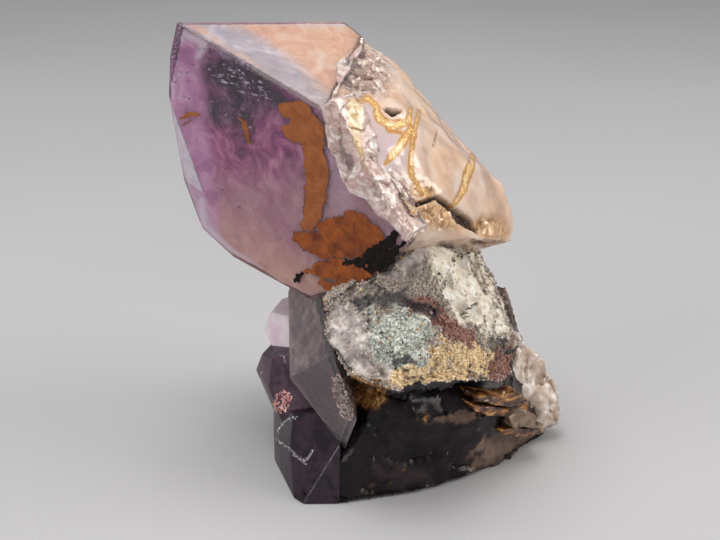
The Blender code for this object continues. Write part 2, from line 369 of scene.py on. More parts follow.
class Shader:
    """Builds a material's node tree in a few words a line."""

    def __init__(self, name):
        self.material = bpy.data.materials.new(name)
        self.material.use_nodes = True
        self.tree = self.material.node_tree
        self.main = self.tree.nodes["Principled BSDF"]
        self.main.inputs["Subsurface Radius"].default_value = QUARTZ_SCATTER
        self.output = self.tree.nodes["Material Output"]
        self.place = self.add("ShaderNodeTexCoord").outputs["Object"]

    def add(self, kind, inputs=None, **settings):
        """A node, with its settings, and values or links for its inputs."""
        node = self.tree.nodes.new(kind)
        for key, value in settings.items():
            setattr(node, key, value)
        for key, value in (inputs or {}).items():
            self.feed(value, node.inputs[key])
        return node

    def feed(self, value, socket):
        if isinstance(value, bpy.types.NodeSocket):
            self.tree.links.new(value, socket)
        else:
            socket.default_value = value

    def set(self, **values):
        for key, value in values.items():
            self.feed(value, self.main.inputs[key.replace("_", " ")])

    def noise(self, grain, detail, roughness=0.55, distortion=0.0, turn=None, scale=None):
        """Noise 0 to 1 with lumps grain millimetres wide, stretched where turn and scale say."""
        place = self.place
        if scale:
            place = self.add("ShaderNodeMapping", {
                "Vector": place, "Rotation": [math.radians(a) for a in turn],
                "Scale": scale}).outputs["Vector"]
        node = self.add("ShaderNodeTexNoise", {
            "Scale": 1.0 / (grain * MM), "Detail": detail, "Roughness": roughness,
            "Distortion": distortion, "Vector": place})
        return node.outputs["Fac"]

    def mask(self, name):
        return self.add("ShaderNodeAttribute", attribute_name=name).outputs["Fac"]

    def math(self, operation, first, second):
        return self.add("ShaderNodeMath", {0: first, 1: second}, operation=operation).outputs[0]

    def spread(self, value, low, high, to_low=0.0, to_high=1.0):
        """The value's range low to high, smoothly mapped to to_low to to_high."""
        node = self.add("ShaderNodeMapRange", {
            "Value": value, "From Min": low, "From Max": high, "To Min": to_low,
            "To Max": to_high}, interpolation_type="SMOOTHSTEP")
        return node.outputs["Result"]

    def mix(self, share, first, second):
        first, second = ((*colour, 1.0) if isinstance(colour, tuple) else colour
                         for colour in (first, second))
        node = self.add("ShaderNodeMix", data_type="RGBA")
        for key, value in (("Factor", share), (6, first), (7, second)):
            self.feed(value, node.inputs[key])
        return node.outputs[2]

    def zoned(self, colour, **zones):
        """A colour with others laid over it in turn, each where the mask of its name is."""
        for name, zone in zones.items():
            colour = self.mix(self.mask(name), colour, zone)
        return colour

    def ramp(self, value, *stops):
        """A colour from stops of (height, red, green, blue)."""
        node = self.add("ShaderNodeValToRGB", {"Fac": value})
        marks = node.color_ramp.elements
        while len(marks) < len(stops):
            marks.new(0.5)
        for mark, (height, *colour) in zip(marks, stops):
            mark.position = height
            mark.color = (*colour, 1.0)
        return node.outputs["Color"]

    def tones(self, value, table):
        """A ramp of the same value for each name of a table of stops."""
        return {name: self.ramp(value, *stops) for name, stops in table.items()}

    def absorb(self, colour, density):
        """Plain absorption, density in 1 per metre."""
        node = self.add("ShaderNodeVolumeAbsorption", {"Color": (*colour, 1.0),
                                                       "Density": density})
        self.feed(node.outputs["Volume"], self.output.inputs["Volume"])

    def finished(self, colour, roughness, scatter=None, relief=None, **more):
        """The material.

        scatter is its share and its scale in millimetres. relief is a height of 0 to 1, how many
        millimetres 1 stands for, and the strength.
        """
        self.set(Base_Color=colour, Roughness=roughness, **more)
        if scatter:
            weight, scale = scatter
            self.set(Subsurface_Weight=weight, Subsurface_Scale=scale * MM)
        if relief:
            height, depth, strength = relief
            node = self.add("ShaderNodeBump", {"Strength": strength, "Distance": depth * MM,
                                               "Height": height})
            self.set(Normal=node.outputs["Normal"])
        return self.material


def clear_material(name, tints, grain, haze, relief_depth, gloss, absorption):
    """A see-through quartz face, tinted between two colours, over absorbing quartz."""
    shader = Shader(name)
    cloud = shader.noise(grain, 5.0, 0.6, 0.6)
    growth = shader.noise(1.4, 3.0, 0.5, 0.3, (0.0, 35.0, 0.0), (1.0, 1.0, 5.0))
    shader.absorb(*absorption)
    return shader.finished(
        shader.mix(shader.spread(cloud, 0.35, 0.65), *tints),
        shader.spread(shader.noise(grain * 0.4, 3.0), 0.4, 0.75, 0.015, 0.10),
        relief=(growth, relief_depth, 0.5), Transmission_Weight=1.0 - haze, IOR=QUARTZ_IOR,
        Specular_IOR_Level=gloss)


# The large point

LARGE_POINT_INSIDE = (-18.0, 0.0, 68.0)
BACKWARDS = Vector((4.0, 10.0, 0.0))
LARGE_POINT_FACETS = (
    (TIP, FRONT_EDGE_END, TOP_EDGE_END),
    (TIP, FRONT_EDGE_END, LOWER_LEFT),
    (TIP, TOP_EDGE_END, LEFT_SHOULDER),
    (LEFT_SHOULDER, LEFT_EDGE, LEFT_EDGE + BACKWARDS),
    (LEFT_EDGE, LEFT_KNEE, LEFT_BACK_EDGE),
    (LEFT_EDGE, LEFT_BACK_EDGE, LEFT_BACK_EDGE + BACKWARDS),
    (LEFT_KNEE, LEFT_KNEE_END, LEFT_BACK_EDGE),
    (LEFT_BACK_EDGE, LOWER_LEFT_BACK, LOWER_LEFT_BACK + BACKWARDS),
    (LOWER_LEFT_BACK, LOWER_FRONT, (-20.0, 20.0, 46.0)),
    (LOWEST_CORNER, LOWER_RIGHT, (-6.0, 10.0, 44.0)),
    (LOWER_RIGHT, (6.0, -32.0, 58.0), (10.0, 6.0, 50.0)),
    (FRONT_EDGE_END, RIGHT_FRONT, TOP_CORNER),
    (TOP_EDGE_END, (10.0, 4.0, 78.0), (4.0, 24.0, 70.0)),
    ((-30.0, 21.0, 60.0), (0.0, 22.0, 60.0), (-10.0, 20.0, 80.0)),
)
PALE_FACETS = (0, 2)
POINT_ABSORPTION = ((0.76, 0.40, 0.71), 85.0)
FRONT_FACE = facet_normal((TIP, FRONT_EDGE_END, LOWER_LEFT), LARGE_POINT_INSIDE)
TOP_FACE = facet_normal((TIP, FRONT_EDGE_END, TOP_EDGE_END), LARGE_POINT_INSIDE)


def make_large_point():
    made = add_built("large_amethyst_point", cut_block(LARGE_POINT_INSIDE, LARGE_POINT_FACETS))
    numbers = [item.value for item in made.data.attributes["facet"].data]
    for polygon, number in zip(made.data.polygons, numbers):
        polygon.material_index = 1 if number in PALE_FACETS else 0
    bevelled(made, 0.22)
    purple = clear_material("purple_face", ((0.92, 0.86, 0.94), (0.99, 0.97, 0.99)), grain=9.0,
                            haze=0.0, relief_depth=0.05, gloss=0.14, absorption=POINT_ABSORPTION)
    pale = clear_material("pale_face", ((0.94, 0.95, 0.99), (1.0, 0.96, 0.93)), grain=7.0,
                          haze=0.08, relief_depth=0.12, gloss=0.22, absorption=POINT_ABSORPTION)
    finish_piece(made, purple, pale, sharp_from=12.0)


# Colours of the clouded heart's zones, in the order that they are laid over purple
CLOUD_TONES = {
    "purple": ((0.34, 0.14, 0.022, 0.12), (0.50, 0.49, 0.13, 0.31), (0.66, 0.82, 0.40, 0.58)),
    "mauve": ((0.25, 0.50, 0.24, 0.29), (0.50, 0.64, 0.37, 0.41), (0.78, 0.78, 0.57, 0.58)),
    "dark": ((0.36, 0.012, 0.003, 0.016), (0.50, 0.06, 0.015, 0.065), (0.66, 0.30, 0.12, 0.26)),
    "peach": ((0.25, 0.68, 0.38, 0.28), (0.55, 0.82, 0.55, 0.43), (0.80, 0.92, 0.76, 0.65)),
    "rim": ((0.3, 0.56, 0.24, 0.48), (0.5, 0.78, 0.44, 0.66), (0.72, 0.93, 0.74, 0.84)),
    "milky": ((0.30, 0.74, 0.38, 0.21), (0.50, 0.87, 0.55, 0.34), (0.72, 0.95, 0.80, 0.63)),
    # Painted reflection: the blue-white of the top light mirrored in the top face
    "bluish": ((0.30, 0.40, 0.38, 0.45), (0.50, 0.58, 0.54, 0.59), (0.70, 0.88, 0.86, 0.89)),
}


def cloud_material():
    """The milky, zoned body just behind the large point's faces."""
    shader = Shader("clouded_quartz")
    wisps = shader.noise(6.0, 6.0, 0.62, 1.2)
    fine = shader.noise(1.2, 5.0, 0.65, 0.6)
    tones = shader.tones(wisps, CLOUD_TONES)
    purple = tones.pop("purple")
    # The painted blue-white reflection is laid over the milky zone
    tones["milky"] = shader.zoned(tones["milky"], bluish=tones.pop("bluish"))
    # The light zone is pale slivers and clear lilac, with painted highlights along the edges
    colour = shader.zoned(purple, **tones, light=(0.93, 0.85, 0.90))
    colour = shader.mix(shader.spread(fine, 0.55, 0.75, 0.0, 0.35), colour, (0.80, 0.70, 0.78))
    lumps = shader.noise(2.2, 4.0, 0.6, 0.8)
    return shader.finished(colour, 0.6, scatter=(0.4, 2.0), relief=(lumps, 0.8, 0.8))


# Pale slivers, corners and painted edge highlights of the large point: strokes of (column, row, half
# width)
PALE_AND_HIGHLIGHT_STROKES = (
    ((180, 26, 0.8), (326, 108, 0.8)),
    ((184, 22, 3), (345, 24, 3)),
    ((186, 34, 3), (206, 42, 5), (200, 56, 3)),
    ((172, 70, 2), (172, 96, 3)),
    ((204, 200, 3), (206, 224, 3), (232, 248, 2), (262, 268, 2)),
)
CLEAR_LILAC_PATCHES = ((338, 172, 11, 50, -18),)
# How far the clouded heart lies behind each facet, in millimetres
CLOUD_INSETS = (0.5, 0.95, 0.35, 0.3, 0.5, 0.4, 0.8, 0.8, 0.4, 0.4, 0.4, 0.5, 0.4, 1.0)
# Patches of painted reflection of the top light, blue-white, under the top face
BLUISH_REFLECTION_PATCHES = ((276, 66, 62, 14, 36), (226, 38, 34, 9, 30))
VIOLET_PATCHES = ((238, 84, 46, 20, 30), (232, 108, 28, 20, 0), (292, 108, 30, 9, 32))


def make_cloud():
    block = cut_block(LARGE_POINT_INSIDE, LARGE_POINT_FACETS, CLOUD_INSETS)
    made = remeshed(add_built("clouded_heart", block), 0.6)
    mesh = made.data
    points, normals = surface_of(mesh)
    push_out(mesh, points, normals,
             noise_field(points, 9.0, 3) * 0.3 + noise_field(points, 2.5, 5) * 0.12)
    moved, _ = surface_of(mesh)
    column, row = photo_pixels(moved)
    # Each zone starts at a row or column of the photograph and wanders by up to this many pixels
    ripple = noise_field(points, 8.0, 9) * 14.0
    clear = patch_mask(column + ripple * 0.4, row, CLEAR_LILAC_PATCHES, 0.7) * 0.45
    # Pale slivers and painted edge highlights, with the clear lilac patches
    light = np.maximum(stroke_mask(column, row, PALE_AND_HIGHLIGHT_STROKES, 2.5), clear)
    set_masks(mesh, {
        "mauve": smooth_step(row + ripple + (column - 230.0) * 0.10, 150.0, 205.0),
        "rim": smooth_step(204.0 + (row - 30.0) * 0.12 - column + ripple * 0.4, 0.0, 14.0),
        "peach": smooth_step(row + ripple * 0.8 - (column - 230.0) * 0.42, 200.0, 250.0),
        "milky": smooth_step(normals[:, 2], 0.45, 0.75),
        "bluish": patch_mask(column + ripple, row + ripple * 0.5, BLUISH_REFLECTION_PATCHES, 0.4),
        "dark": patch_mask(column + ripple, row - ripple * 0.5, VIOLET_PATCHES, 0.5),
        "light": light * facing_camera(moved, normals)})
    finish_piece(made, cloud_material(), sharp_from=60.0)


# Sheets of iron and black oxide, set in the large point's front face: the step and the margin of
# their grid, how far they wave, and the pixels from their outline over which they thicken
SHEET_STEP = 0.2
SHEET_MARGIN = 6.0
SHEET_WAVE = 0.02
SHEET_RIM = 5.0
THINNEST_RIM = 0.04


def sheet_solid(name, marks, depth, thickness, ragged, seed):
    """A thin closed sheet, its middle depth under the front face, with a ragged outline."""
    place = mm_point(TIP)
    side = CAMERA_RIGHT.cross(FRONT_FACE).normalized()
    other = FRONT_FACE.cross(side).normalized()
    corners = [pixel_on_plane(c, r, place, FRONT_FACE) for stroke in marks for c, r, _ in stroke]
    steps = []
    for way in (side, other):
        found = [(corner - place).dot(way) for corner in corners]
        steps.append(np.arange(min(found) - SHEET_MARGIN * MM, max(found) + SHEET_MARGIN * MM,
                               SHEET_STEP * MM))
    grid_a, grid_b = np.meshgrid(*steps, indexing="ij")
    flat = np.array(place) + grid_a.ravel()[:, None] * np.array(side)
    flat = flat + grid_b.ravel()[:, None] * np.array(other)
    rough = noise_field(flat, 4.0, seed, 5) * 0.6 + noise_field(flat, 0.9, seed + 9) * 0.6
    field = stroke_reach(*photo_pixels(flat), marks) + rough * ragged * 2.0
    field = field.reshape(grid_a.shape)
    wave = noise_field(flat, 7.0, seed + 4).reshape(grid_a.shape) * SHEET_WAVE
    half = np.clip(field / SHEET_RIM, THINNEST_RIM, 1.0) ** 0.5 * thickness * 0.5
    return closed_sheet(name, flat.reshape(*grid_a.shape, 3), np.array(FRONT_FACE), field > 0.0,
                        (wave - depth) * MM, half * MM)


def closed_sheet(name, grid, normal, inside, middle, half):
    """A solid from the grid cells whose four corners are inside, half thick on either side."""
    cell = inside[:-1, :-1] & inside[1:, :-1] & inside[:-1, 1:] & inside[1:, 1:]
    solid = cell.copy()
    solid[1:-1, 1:-1] &= (cell[:-2, 1:-1] | cell[2:, 1:-1]) & (cell[1:-1, :-2] | cell[1:-1, 2:])
    index = -np.ones(inside.shape, int)
    vertices = []
    faces = []

    def corner(i, j):
        if index[i, j] < 0:
            index[i, j] = len(vertices)
            for sign in (1.0, -1.0):
                vertices.append(grid[i, j] + normal * (middle[i, j] + sign * half[i, j]))
        return index[i, j]

    rows, columns = solid.shape
    for i, j in zip(*np.nonzero(solid)):
        top = [corner(*place) for place in ((i, j), (i + 1, j), (i + 1, j + 1), (i, j + 1))]
        faces.append(top)
        faces.append([place + 1 for place in reversed(top)])
        beside = ((i, j - 1), (i + 1, j), (i, j + 1), (i - 1, j))
        for edge, (a, b) in enumerate(beside):
            if not (0 <= a < rows and 0 <= b < columns and solid[a, b]):
                start, end = top[edge], top[(edge + 1) % 4]
                faces.append([end, start, start + 1, end + 1])
    made = add_mesh(name, vertices, faces)
    builder = bmesh.new()
    builder.from_mesh(made.data)
    bmesh.ops.recalc_face_normals(builder, faces=builder.faces)
    builder.to_mesh(made.data)
    builder.free()
    return made


IRON_BAND = (
    ((285, 110, 8), (297, 113, 12), (309, 126, 13)),
    ((280, 129, 4), (296, 132, 10), (312, 140, 12)),
    ((311, 128, 13), (314, 150, 13), (317, 175, 12), (315, 200, 11), (310, 224, 9)),
)
IRON_POOL = (
    ((299, 238, 7), (312, 242, 13), (332, 243, 18), (352, 240, 20), (366, 240, 19), (380, 250, 13)),
    ((350, 218, 8), (358, 226, 13)),
    ((318, 226, 6), (340, 226, 10)),
)
IRON_FOOT = (
    ((307, 271, 3), (318, 269, 8), (334, 269, 12), (352, 273, 14), (368, 266, 10)),
    ((320, 283, 2), (330, 288, 6), (340, 288, 9), (354, 284, 7)),
)
IRON_SPOTS = (
    ((182, 118, 2.5), (188, 115, 3), (198, 114, 2)),
    ((237, 116, 2), (244, 122, 3), (247, 131, 3), (249, 142, 2)),
    ((184, 124, 1.5), (191, 121, 1.5)),
)
BLACK_OXIDE = (
    ((344, 263, 2), (362, 262, 7), (380, 250, 9), (392, 240, 7), (399, 231, 4)),
    ((370, 269, 6), (388, 258, 8), (403, 244, 4)),
    ((296, 281, 1), (301, 274, 1.6), (304, 268, 1)),
)


def iron_material(name, light, deep):
    """Iron oxide stain whose colours run from deep to light."""
    shader = Shader(name)
    blotch = shader.noise(3.0, 6.0, 0.6, 0.8)
    grit = shader.noise(0.5, 4.0, 0.7)
    colour = shader.ramp(blotch, (0.30, *deep), (0.66, *light))
    colour = shader.mix(shader.spread(grit, 0.5, 0.8, 0.0, 0.4), colour, light)
    return shader.finished(colour, 0.45, relief=(grit, 0.25, 0.7), Specular_IOR_Level=0.2)


def black_oxide_material():
    shader = Shader("black_oxide")
    grit = shader.noise(0.6, 5.0, 0.7)
    colour = shader.ramp(grit, (0.45, 0.0015, 0.001, 0.0015), (0.80, 0.03, 0.014, 0.008))
    return shader.finished(colour, 0.5, relief=(grit, 0.3, 0.8), Specular_IOR_Level=0.1)


def make_iron_oxide():
    brown = iron_material("brown_iron_oxide", (0.34, 0.11, 0.030), (0.19, 0.050, 0.014))
    dark = iron_material("dark_iron_oxide", (0.30, 0.075, 0.010), (0.085, 0.014, 0.004))
    sheets = (("iron_oxide_band", brown, "iron_oxide", IRON_BAND, 0.07, 0.26, 2.0, 2),
              ("iron_oxide_pool", dark, "iron_oxide", IRON_POOL, 0.06, 0.26, 2.2, 3),
              ("iron_oxide_foot", dark, "iron_oxide", IRON_FOOT, 0.05, 0.24, 2.2, 4),
              ("iron_oxide_spots", brown, "iron_oxide", IRON_SPOTS, 0.03, 0.20, 1.6, 5),
              ("black_oxide", black_oxide_material(), "smoky_quartz", BLACK_OXIDE, 0.0, 0.34,
               2.2, 6))
    for name, material, slot, *shape in sheets:
        finish_piece(sheet_solid(name, *shape), material, slot=slot)


# Grains and flakes

GRAIN_CORNERS = np.array(((1, 0, 0), (0, 1, 0), (-1, 0, 0), (0, -1, 0), (0, 0, 1), (0, 0, -1)),
                         float)
GRAIN_FACES = ((0, 1, 4), (1, 2, 4), (2, 3, 4), (3, 0, 4),
               (1, 0, 5), (2, 1, 5), (3, 2, 5), (0, 3, 5))


def grain_shape(rng):
    """A small lopsided double pyramid of 6 corners."""
    return GRAIN_CORNERS * rng.uniform(0.75, 1.25, 6)[:, None]


def turned(rng, shape):
    turn = Matrix.Rotation(rng.uniform(0, math.tau), 3, "X") @ \
        Matrix.Rotation(rng.uniform(0, math.tau), 3, "Z")
    return shape @ np.array(turn)


def flattened(shape, normal, share):
    """The shape, squeezed by a share of its height along a normal."""
    across = np.array(normal)
    return shape - np.outer(shape @ across, across) * share


def grain_mesh(name, shapes):
    """One mesh of grains, each given by its corners in metres."""
    faces = [tuple(index * len(GRAIN_CORNERS) + corner for corner in face)
             for index in range(len(shapes)) for face in GRAIN_FACES]
    return add_mesh(name, np.concatenate(shapes), faces)


def crumbs(name, places, sizes, seed, squeeze):
    """Grains at (point, normal) places, with sizes in millimetres."""
    rng = np.random.default_rng(seed)
    shapes = []
    for point, normal in places:
        size = rng.uniform(*sizes) * MM
        shape = flattened(turned(rng, grain_shape(rng)), normal, squeeze)
        shapes.append(shape * size + np.array(point))
    return grain_mesh(name, shapes)


def surface_under(carrier, column, row):
    """Where a pixel's ray first meets a piece, as a list of one point and normal, or of none."""
    met, point, normal, _ = carrier.ray_cast(CAMERA_PLACE, pixel_ray(column, row))
    return [(point, normal)] if met else []


def places_on_strokes(carrier, strokes, gap, scatter, seed):
    """Places on a piece along pixel lines, gap pixels apart, scattered across the line."""
    rng = np.random.default_rng(seed)
    places = []
    for stroke in strokes:
        for (c0, r0), (c1, r1) in zip(stroke[:-1], stroke[1:]):
            for share in np.arange(0.0, 1.0, gap / max(math.hypot(c1 - c0, r1 - r0), gap)):
                column = c0 + (c1 - c0) * share + rng.normal() * scatter
                row = r0 + (r1 - r0) * share + rng.normal() * scatter
                places += surface_under(carrier, column, row)
    return places


def places_in_patch(carrier, patch, count, seed):
    rng = np.random.default_rng(seed)
    places = []
    for _ in range(count):
        places += surface_under(carrier, *pixel_in_patch(rng, patch))
    return places


# Zones of flakes with painted glints in the point: patch in pixels, how many, smallest and largest
# size
FLAKE_ZONES = (
    ((236, 76, 54, 11, 33), 110, (0.08, 0.62)),
    ((232, 58, 26, 3, 30), 50, (0.10, 0.60)),
    ((234, 108, 30, 16, 0), 50, (0.08, 0.40)),
    ((262, 160, 46, 40, 0), 70, (0.06, 0.35)),
    ((240, 215, 38, 30, 0), 30, (0.08, 0.45)),
    ((184, 78, 10, 34, 0), 40, (0.08, 0.45)),
    ((332, 150, 7, 40, -14), 50, (0.06, 0.34)),
)
FLAKE_DEPTHS = (0.15, 0.50)
FLAKE_SEED = 404


def make_flakes():
    """Flakes of healed fractures, coloured pale as painted glints, sealed just under the large
    point's front face.
    """
    rng = np.random.default_rng(FLAKE_SEED)
    places = []
    for patch, count, sizes in FLAKE_ZONES:
        for _ in range(count):
            pixel = pixel_in_patch(rng, patch)
            depth = rng.uniform(*FLAKE_DEPTHS)
            point = pixel_on_plane(*pixel, mm_point(TIP) - FRONT_FACE * depth * MM, FRONT_FACE)
            places.append((point, rng.uniform(*sizes) ** 1.5))
    shapes = []
    for point, size in places:
        long_shape = grain_shape(rng) * np.array((rng.uniform(1.0, 3.5), 1.0, 0.7))
        shape = turned(rng, long_shape) * size * MM
        shapes.append(flattened(shape, FRONT_FACE, 0.75) + np.array(point))
    shader = Shader("healed_fracture_flakes_and_glints")
    tone = shader.noise(1.5, 3.0)
    # Pale violet-white: the fractures' painted glints
    colour = shader.ramp(tone, (0.38, 0.16, 0.08, 0.20), (0.66, 0.80, 0.66, 0.82))
    finish_piece(grain_mesh("healed_fracture_flakes_and_glints", shapes),
                 shader.finished(colour, shader.spread(tone, 0.3, 0.7, 0.10, 0.30)))


SLIVER_OUTLINE = ((171, 104), (175, 128), (180, 155), (186, 181), (203, 193))


def make_pale_sliver():
    """The pale wedge that shows just under the narrow facet at the large point's left."""
    normal = facet_normal((LEFT_EDGE, LEFT_KNEE, LEFT_BACK_EDGE), LARGE_POINT_INSIDE)
    made = slab("pale_sliver", mm_point(LEFT_KNEE), normal, SLIVER_OUTLINE, -0.15, -0.5)
    shader = Shader("pale_sliver_quartz")
    colour = shader.ramp(shader.noise(2.0, 4.0, 0.6, 1.0), (0.35, 0.78, 0.66, 0.76),
                         (0.6, 0.97, 0.93, 0.96))
    finish_piece(remeshed(made, 0.15), shader.finished(colour, 0.3, scatter=(0.3, 1.0)),
                 sharp_from=40.0)


# Rough bodies

QUARTZ_POINTS = (
    (0.2, 6.0, 92.6), (6.4, 5.0, 88.6), (8.6, 3.0, 85.6), (-5.1, -7.2, 88.9), (-6.6, -23.5, 83.8),
    (9.7, -14.0, 82.0), (11.2, 0.0, 78.6), (22.1, 0.0, 69.6), (30.4, 0.0, 62.7),
    (31.0, -4.0, 58.7), (33.2, -4.0, 54.9), (32.0, -6.0, 51.4), (19.9, -12.0, 71.1),
    (15.2, -25.0, 67.7), (7.4, -30.0, 71.7), (10.2, -32.5, 67.0), (9.4, -32.0, 60.9),
    (18.3, -25.0, 61.1), (24.5, -18.0, 56.1), (8.0, -10.0, 50.0),
    (0.0, 21.0, 86.0), (12.0, 18.0, 75.0), (26.0, 15.0, 61.0), (30.0, 11.0, 50.0),
    (24.0, 18.0, 40.0), (-2.0, 27.0, 62.0), (-4.0, 25.0, 42.0), (2.0, -10.0, 42.0),
)
CRUST_POINTS = (
    (-7.4, -25.5, 46.5), (-2.0, -25.5, 49.8), (7.6, -26.5, 60.4), (13.4, -25.0, 60.7),
    (21.8, -19.0, 54.7), (26.5, -15.0, 45.5), (30.4, -12.0, 36.3), (34.4, -8.0, 28.5),
    (33.1, -12.0, 23.4), (29.2, -19.0, 24.6), (22.1, -27.0, 29.2), (13.7, -32.5, 32.0),
    (6.8, -34.6, 30.9), (1.9, -33.6, 33.4), (-3.4, -32.0, 33.4), (-7.6, -28.0, 41.2),
    (-4.0, -18.0, 30.0), (8.0, -18.0, 22.0), (28.0, -6.0, 20.0), (-8.0, 22.0, 44.0),
    (10.0, 24.0, 50.0), (28.0, 12.0, 44.0), (34.0, 6.0, 28.0), (-6.0, 10.0, 24.0),
)
BACK_POINTS = (
    (-16.0, 18.0, 46.0), (-12.0, 23.0, 66.0), (4.0, 25.0, 74.0), (20.0, 20.0, 62.0),
    (24.0, 22.0, 40.0), (4.0, 28.0, 46.0), (-14.0, 22.0, 30.0), (12.0, 27.5, 24.0),
    (0.0, -6.0, 60.0), (-8.0, -6.0, 34.0), (14.0, -6.0, 40.0),
)
BASE_POINTS = (
    (-12.6, -25.6, 0.0), (-3.0, -26.2, 0.0), (12.8, -22.2, 0.0), (23.9, -16.2, 0.0),
    (36.0, -6.2, 0.0), (43.6, 2.0, 0.0), (42.0, 13.6, 0.0), (28.0, 23.6, 0.0),
    (4.0, 27.6, 0.0), (-12.0, 19.6, 0.0), (-17.0, 4.0, 0.0), (-2.0, -26.0, 12.0),
    (12.4, -22.6, 18.0), (25.3, -18.0, 17.0), (34.9, -10.0, 13.8), (42.6, 0.0, 6.0),
    (40.0, 12.0, 18.0), (34.0, 14.0, 34.0), (20.0, 25.0, 34.0), (-2.0, 27.0, 36.0),
    (-12.0, 18.0, 24.0), (6.0, -18.0, 30.0), (28.0, -8.0, 30.0), (-12.0, 0.0, 30.0),
)
WING_POINTS = (
    (34.8, 3.0, 28.0), (36.2, 0.5, 26.6), (42.0, 2.0, 19.8), (45.4, 2.0, 13.6),
    (48.0, 3.0, 7.2), (47.0, 1.0, 3.2), (41.2, -1.0, 1.2), (35.1, -2.0, 10.9),
    (32.1, -6.0, 17.0), (33.0, 10.0, 28.0), (41.0, 11.0, 18.0), (45.6, 10.0, 7.0),
    (42.0, 12.0, 1.2), (30.0, 8.0, 4.0), (30.0, 4.0, 26.0),
)
# How far a broken surface may stand proud of its outline
MOST_PROUD = 0.3


def broken_body(name, points, voxel, lumps, shards=()):
    """A dense body with lumps (grain, depth, seed) and shards (cell, tilt, step, seed), in mm."""
    made = remeshed(add_built(name, hull_block(points)), voxel)
    places, normals = surface_of(made.data)
    lift = np.zeros(len(places))
    for grain, depth, seed in lumps:
        lift += (noise_field(places, grain, seed) - 0.6) * depth
    for cell, tilt, step, seed in shards:
        lift -= np.abs(shard_field(places, cell, tilt, step, seed))
    push_out(made.data, places, normals, np.minimum(lift, MOST_PROUD))
    return made


def thin_veins(points, grain, width, seed):
    """1 along the thin lines where a noise passes zero."""
    return smooth_step(width - np.abs(noise_field(points, grain, seed)), 0.0, 0.05)


VEINS = (
    ((365, 168, 1), (358, 148, 3), (355, 125, 4), (356, 104, 3)),
    ((356, 102, 2), (367, 96, 2), (376, 104, 2.5), (381, 119, 4), (392, 126, 4.5), (407, 122, 3),
     (411, 108, 1.5)),
    ((420, 110, 1.5), (414, 132, 2), (411, 160, 2), (412, 178, 2), (416, 186, 2.5), (430, 193, 1.5)),
    ((411, 128, 2.5), (402, 144, 4), (392, 156, 3.5), (386, 163, 1)),
    ((474, 154, 2.5), (469, 172, 3.5), (463, 190, 3), (455, 204, 1.5)),
    ((378, 112, 0.3), (388, 131, 0.6), (402, 132, 0.5)),
)
TAN_PATCHES = ((438, 216, 28, 14, 14), (492, 228, 18, 12, 20), (400, 212, 10, 12, 0),
               (424, 190, 12, 8, 20))
# Cracks and hollows, cut in and coloured near black: their brown stain with painted shade inside
CRACKS = (
    ((409, 194, 1.5), (417, 204, 2), (428, 200, 2), (437, 197, 2), (446, 203, 2), (456, 212, 2.5),
     (467, 222, 2)),
    ((456, 213, 4), (467, 222, 5), (478, 230, 3)),
    ((386, 109, 1.5), (392, 112, 3.5), (400, 111, 1.5)),
    ((382, 180, 0.7), (392, 190, 1), (404, 196, 1)),
    ((412, 222, 1), (420, 220, 3), (427, 226, 1)),
    ((438, 131, 0.4), (434, 146, 0.4)),
    ((472, 242, 2), (486, 246, 2.5), (504, 243, 1.5)),
)
LILAC_PATCHES = ((386, 150, 22, 30, -24), (368, 122, 9, 20, 0), (394, 184, 12, 12, 0))
SHADED_STROKES = (
    ((396, 96, 3), (420, 122, 3), (440, 140, 2), (468, 158, 2)),
    ((486, 176, 4), (500, 206, 5), (504, 236, 5)),
    ((424, 150, 2), (428, 180, 3)),
)
SPARKLE_PATCHES = ((364, 72, 30, 28, 30), (388, 206, 26, 30, 40), (368, 150, 8, 40, -12))
QUARTZ_TONES = {
    "body": ((0.30, 0.50, 0.32, 0.22), (0.48, 0.60, 0.42, 0.30), (0.68, 0.66, 0.53, 0.46)),
    "ochre": ((0.10, 0.52, 0.32, 0.16), (0.36, 0.40, 0.19, 0.05), (0.66, 0.52, 0.29, 0.08),
              (1.0, 0.80, 0.60, 0.31)),
    "tan": ((0.3, 0.22, 0.10, 0.04), (0.5, 0.46, 0.27, 0.13), (0.7, 0.72, 0.52, 0.32)),
    "clear": ((0.32, 0.13, 0.085, 0.075), (0.5, 0.34, 0.24, 0.195), (0.68, 0.78, 0.68, 0.60)),
}


def quartz_material():
    shader = Shader("milky_quartz")
    haze = shader.noise(10.0, 3.0, 0.5, 0.8)
    streak = shader.noise(3.2, 3.0, 0.5, 1.0, (0.0, 30.0, 20.0), (1.0, 1.0, 0.35))
    body = shader.ramp(haze, *QUARTZ_TONES["body"])
    body = shader.mix(shader.spread(streak, 0.55, 0.75, 0.0, 0.3), body, (0.72, 0.60, 0.50))
    line = shader.math("ADD", shader.mask("vein"), shader.spread(
        shader.noise(0.9, 5.0, 0.65, 1.5), 0.3, 0.7, -0.45, 0.30))
    ochre = shader.ramp(line, *QUARTZ_TONES["ochre"])
    tan = shader.ramp(shader.noise(1.6, 5.0, 0.65, 1.0), *QUARTZ_TONES["tan"])
    clear = shader.ramp(shader.noise(1.5, 5.0, 0.7, 1.0), *QUARTZ_TONES["clear"])
    colour = shader.zoned(body, lilac=(0.50, 0.40, 0.41), shade=(0.34, 0.20, 0.13),
                          sparkle=clear, tan=tan)
    colour = shader.mix(shader.spread(shader.mask("vein"), 0.05, 0.4), colour, ochre)
    # Near black in the cracks: painted shade over their brown stain
    colour = shader.zoned(colour, crack=(0.035, 0.012, 0.008))
    wet = shader.spread(shader.noise(1.6, 3.0, 0.5), 0.35, 0.7, 0.08, 0.26)
    return shader.finished(
        colour, wet, scatter=(0.6, 4.0), relief=(shader.noise(2.4, 3.0, 0.5, 0.8), 0.22, 0.5),
        IOR=QUARTZ_IOR, Coat_Roughness=0.05,
        Coat_Weight=shader.spread(shader.mask("crack"), 0.0, 0.5, 0.6, 0.0))


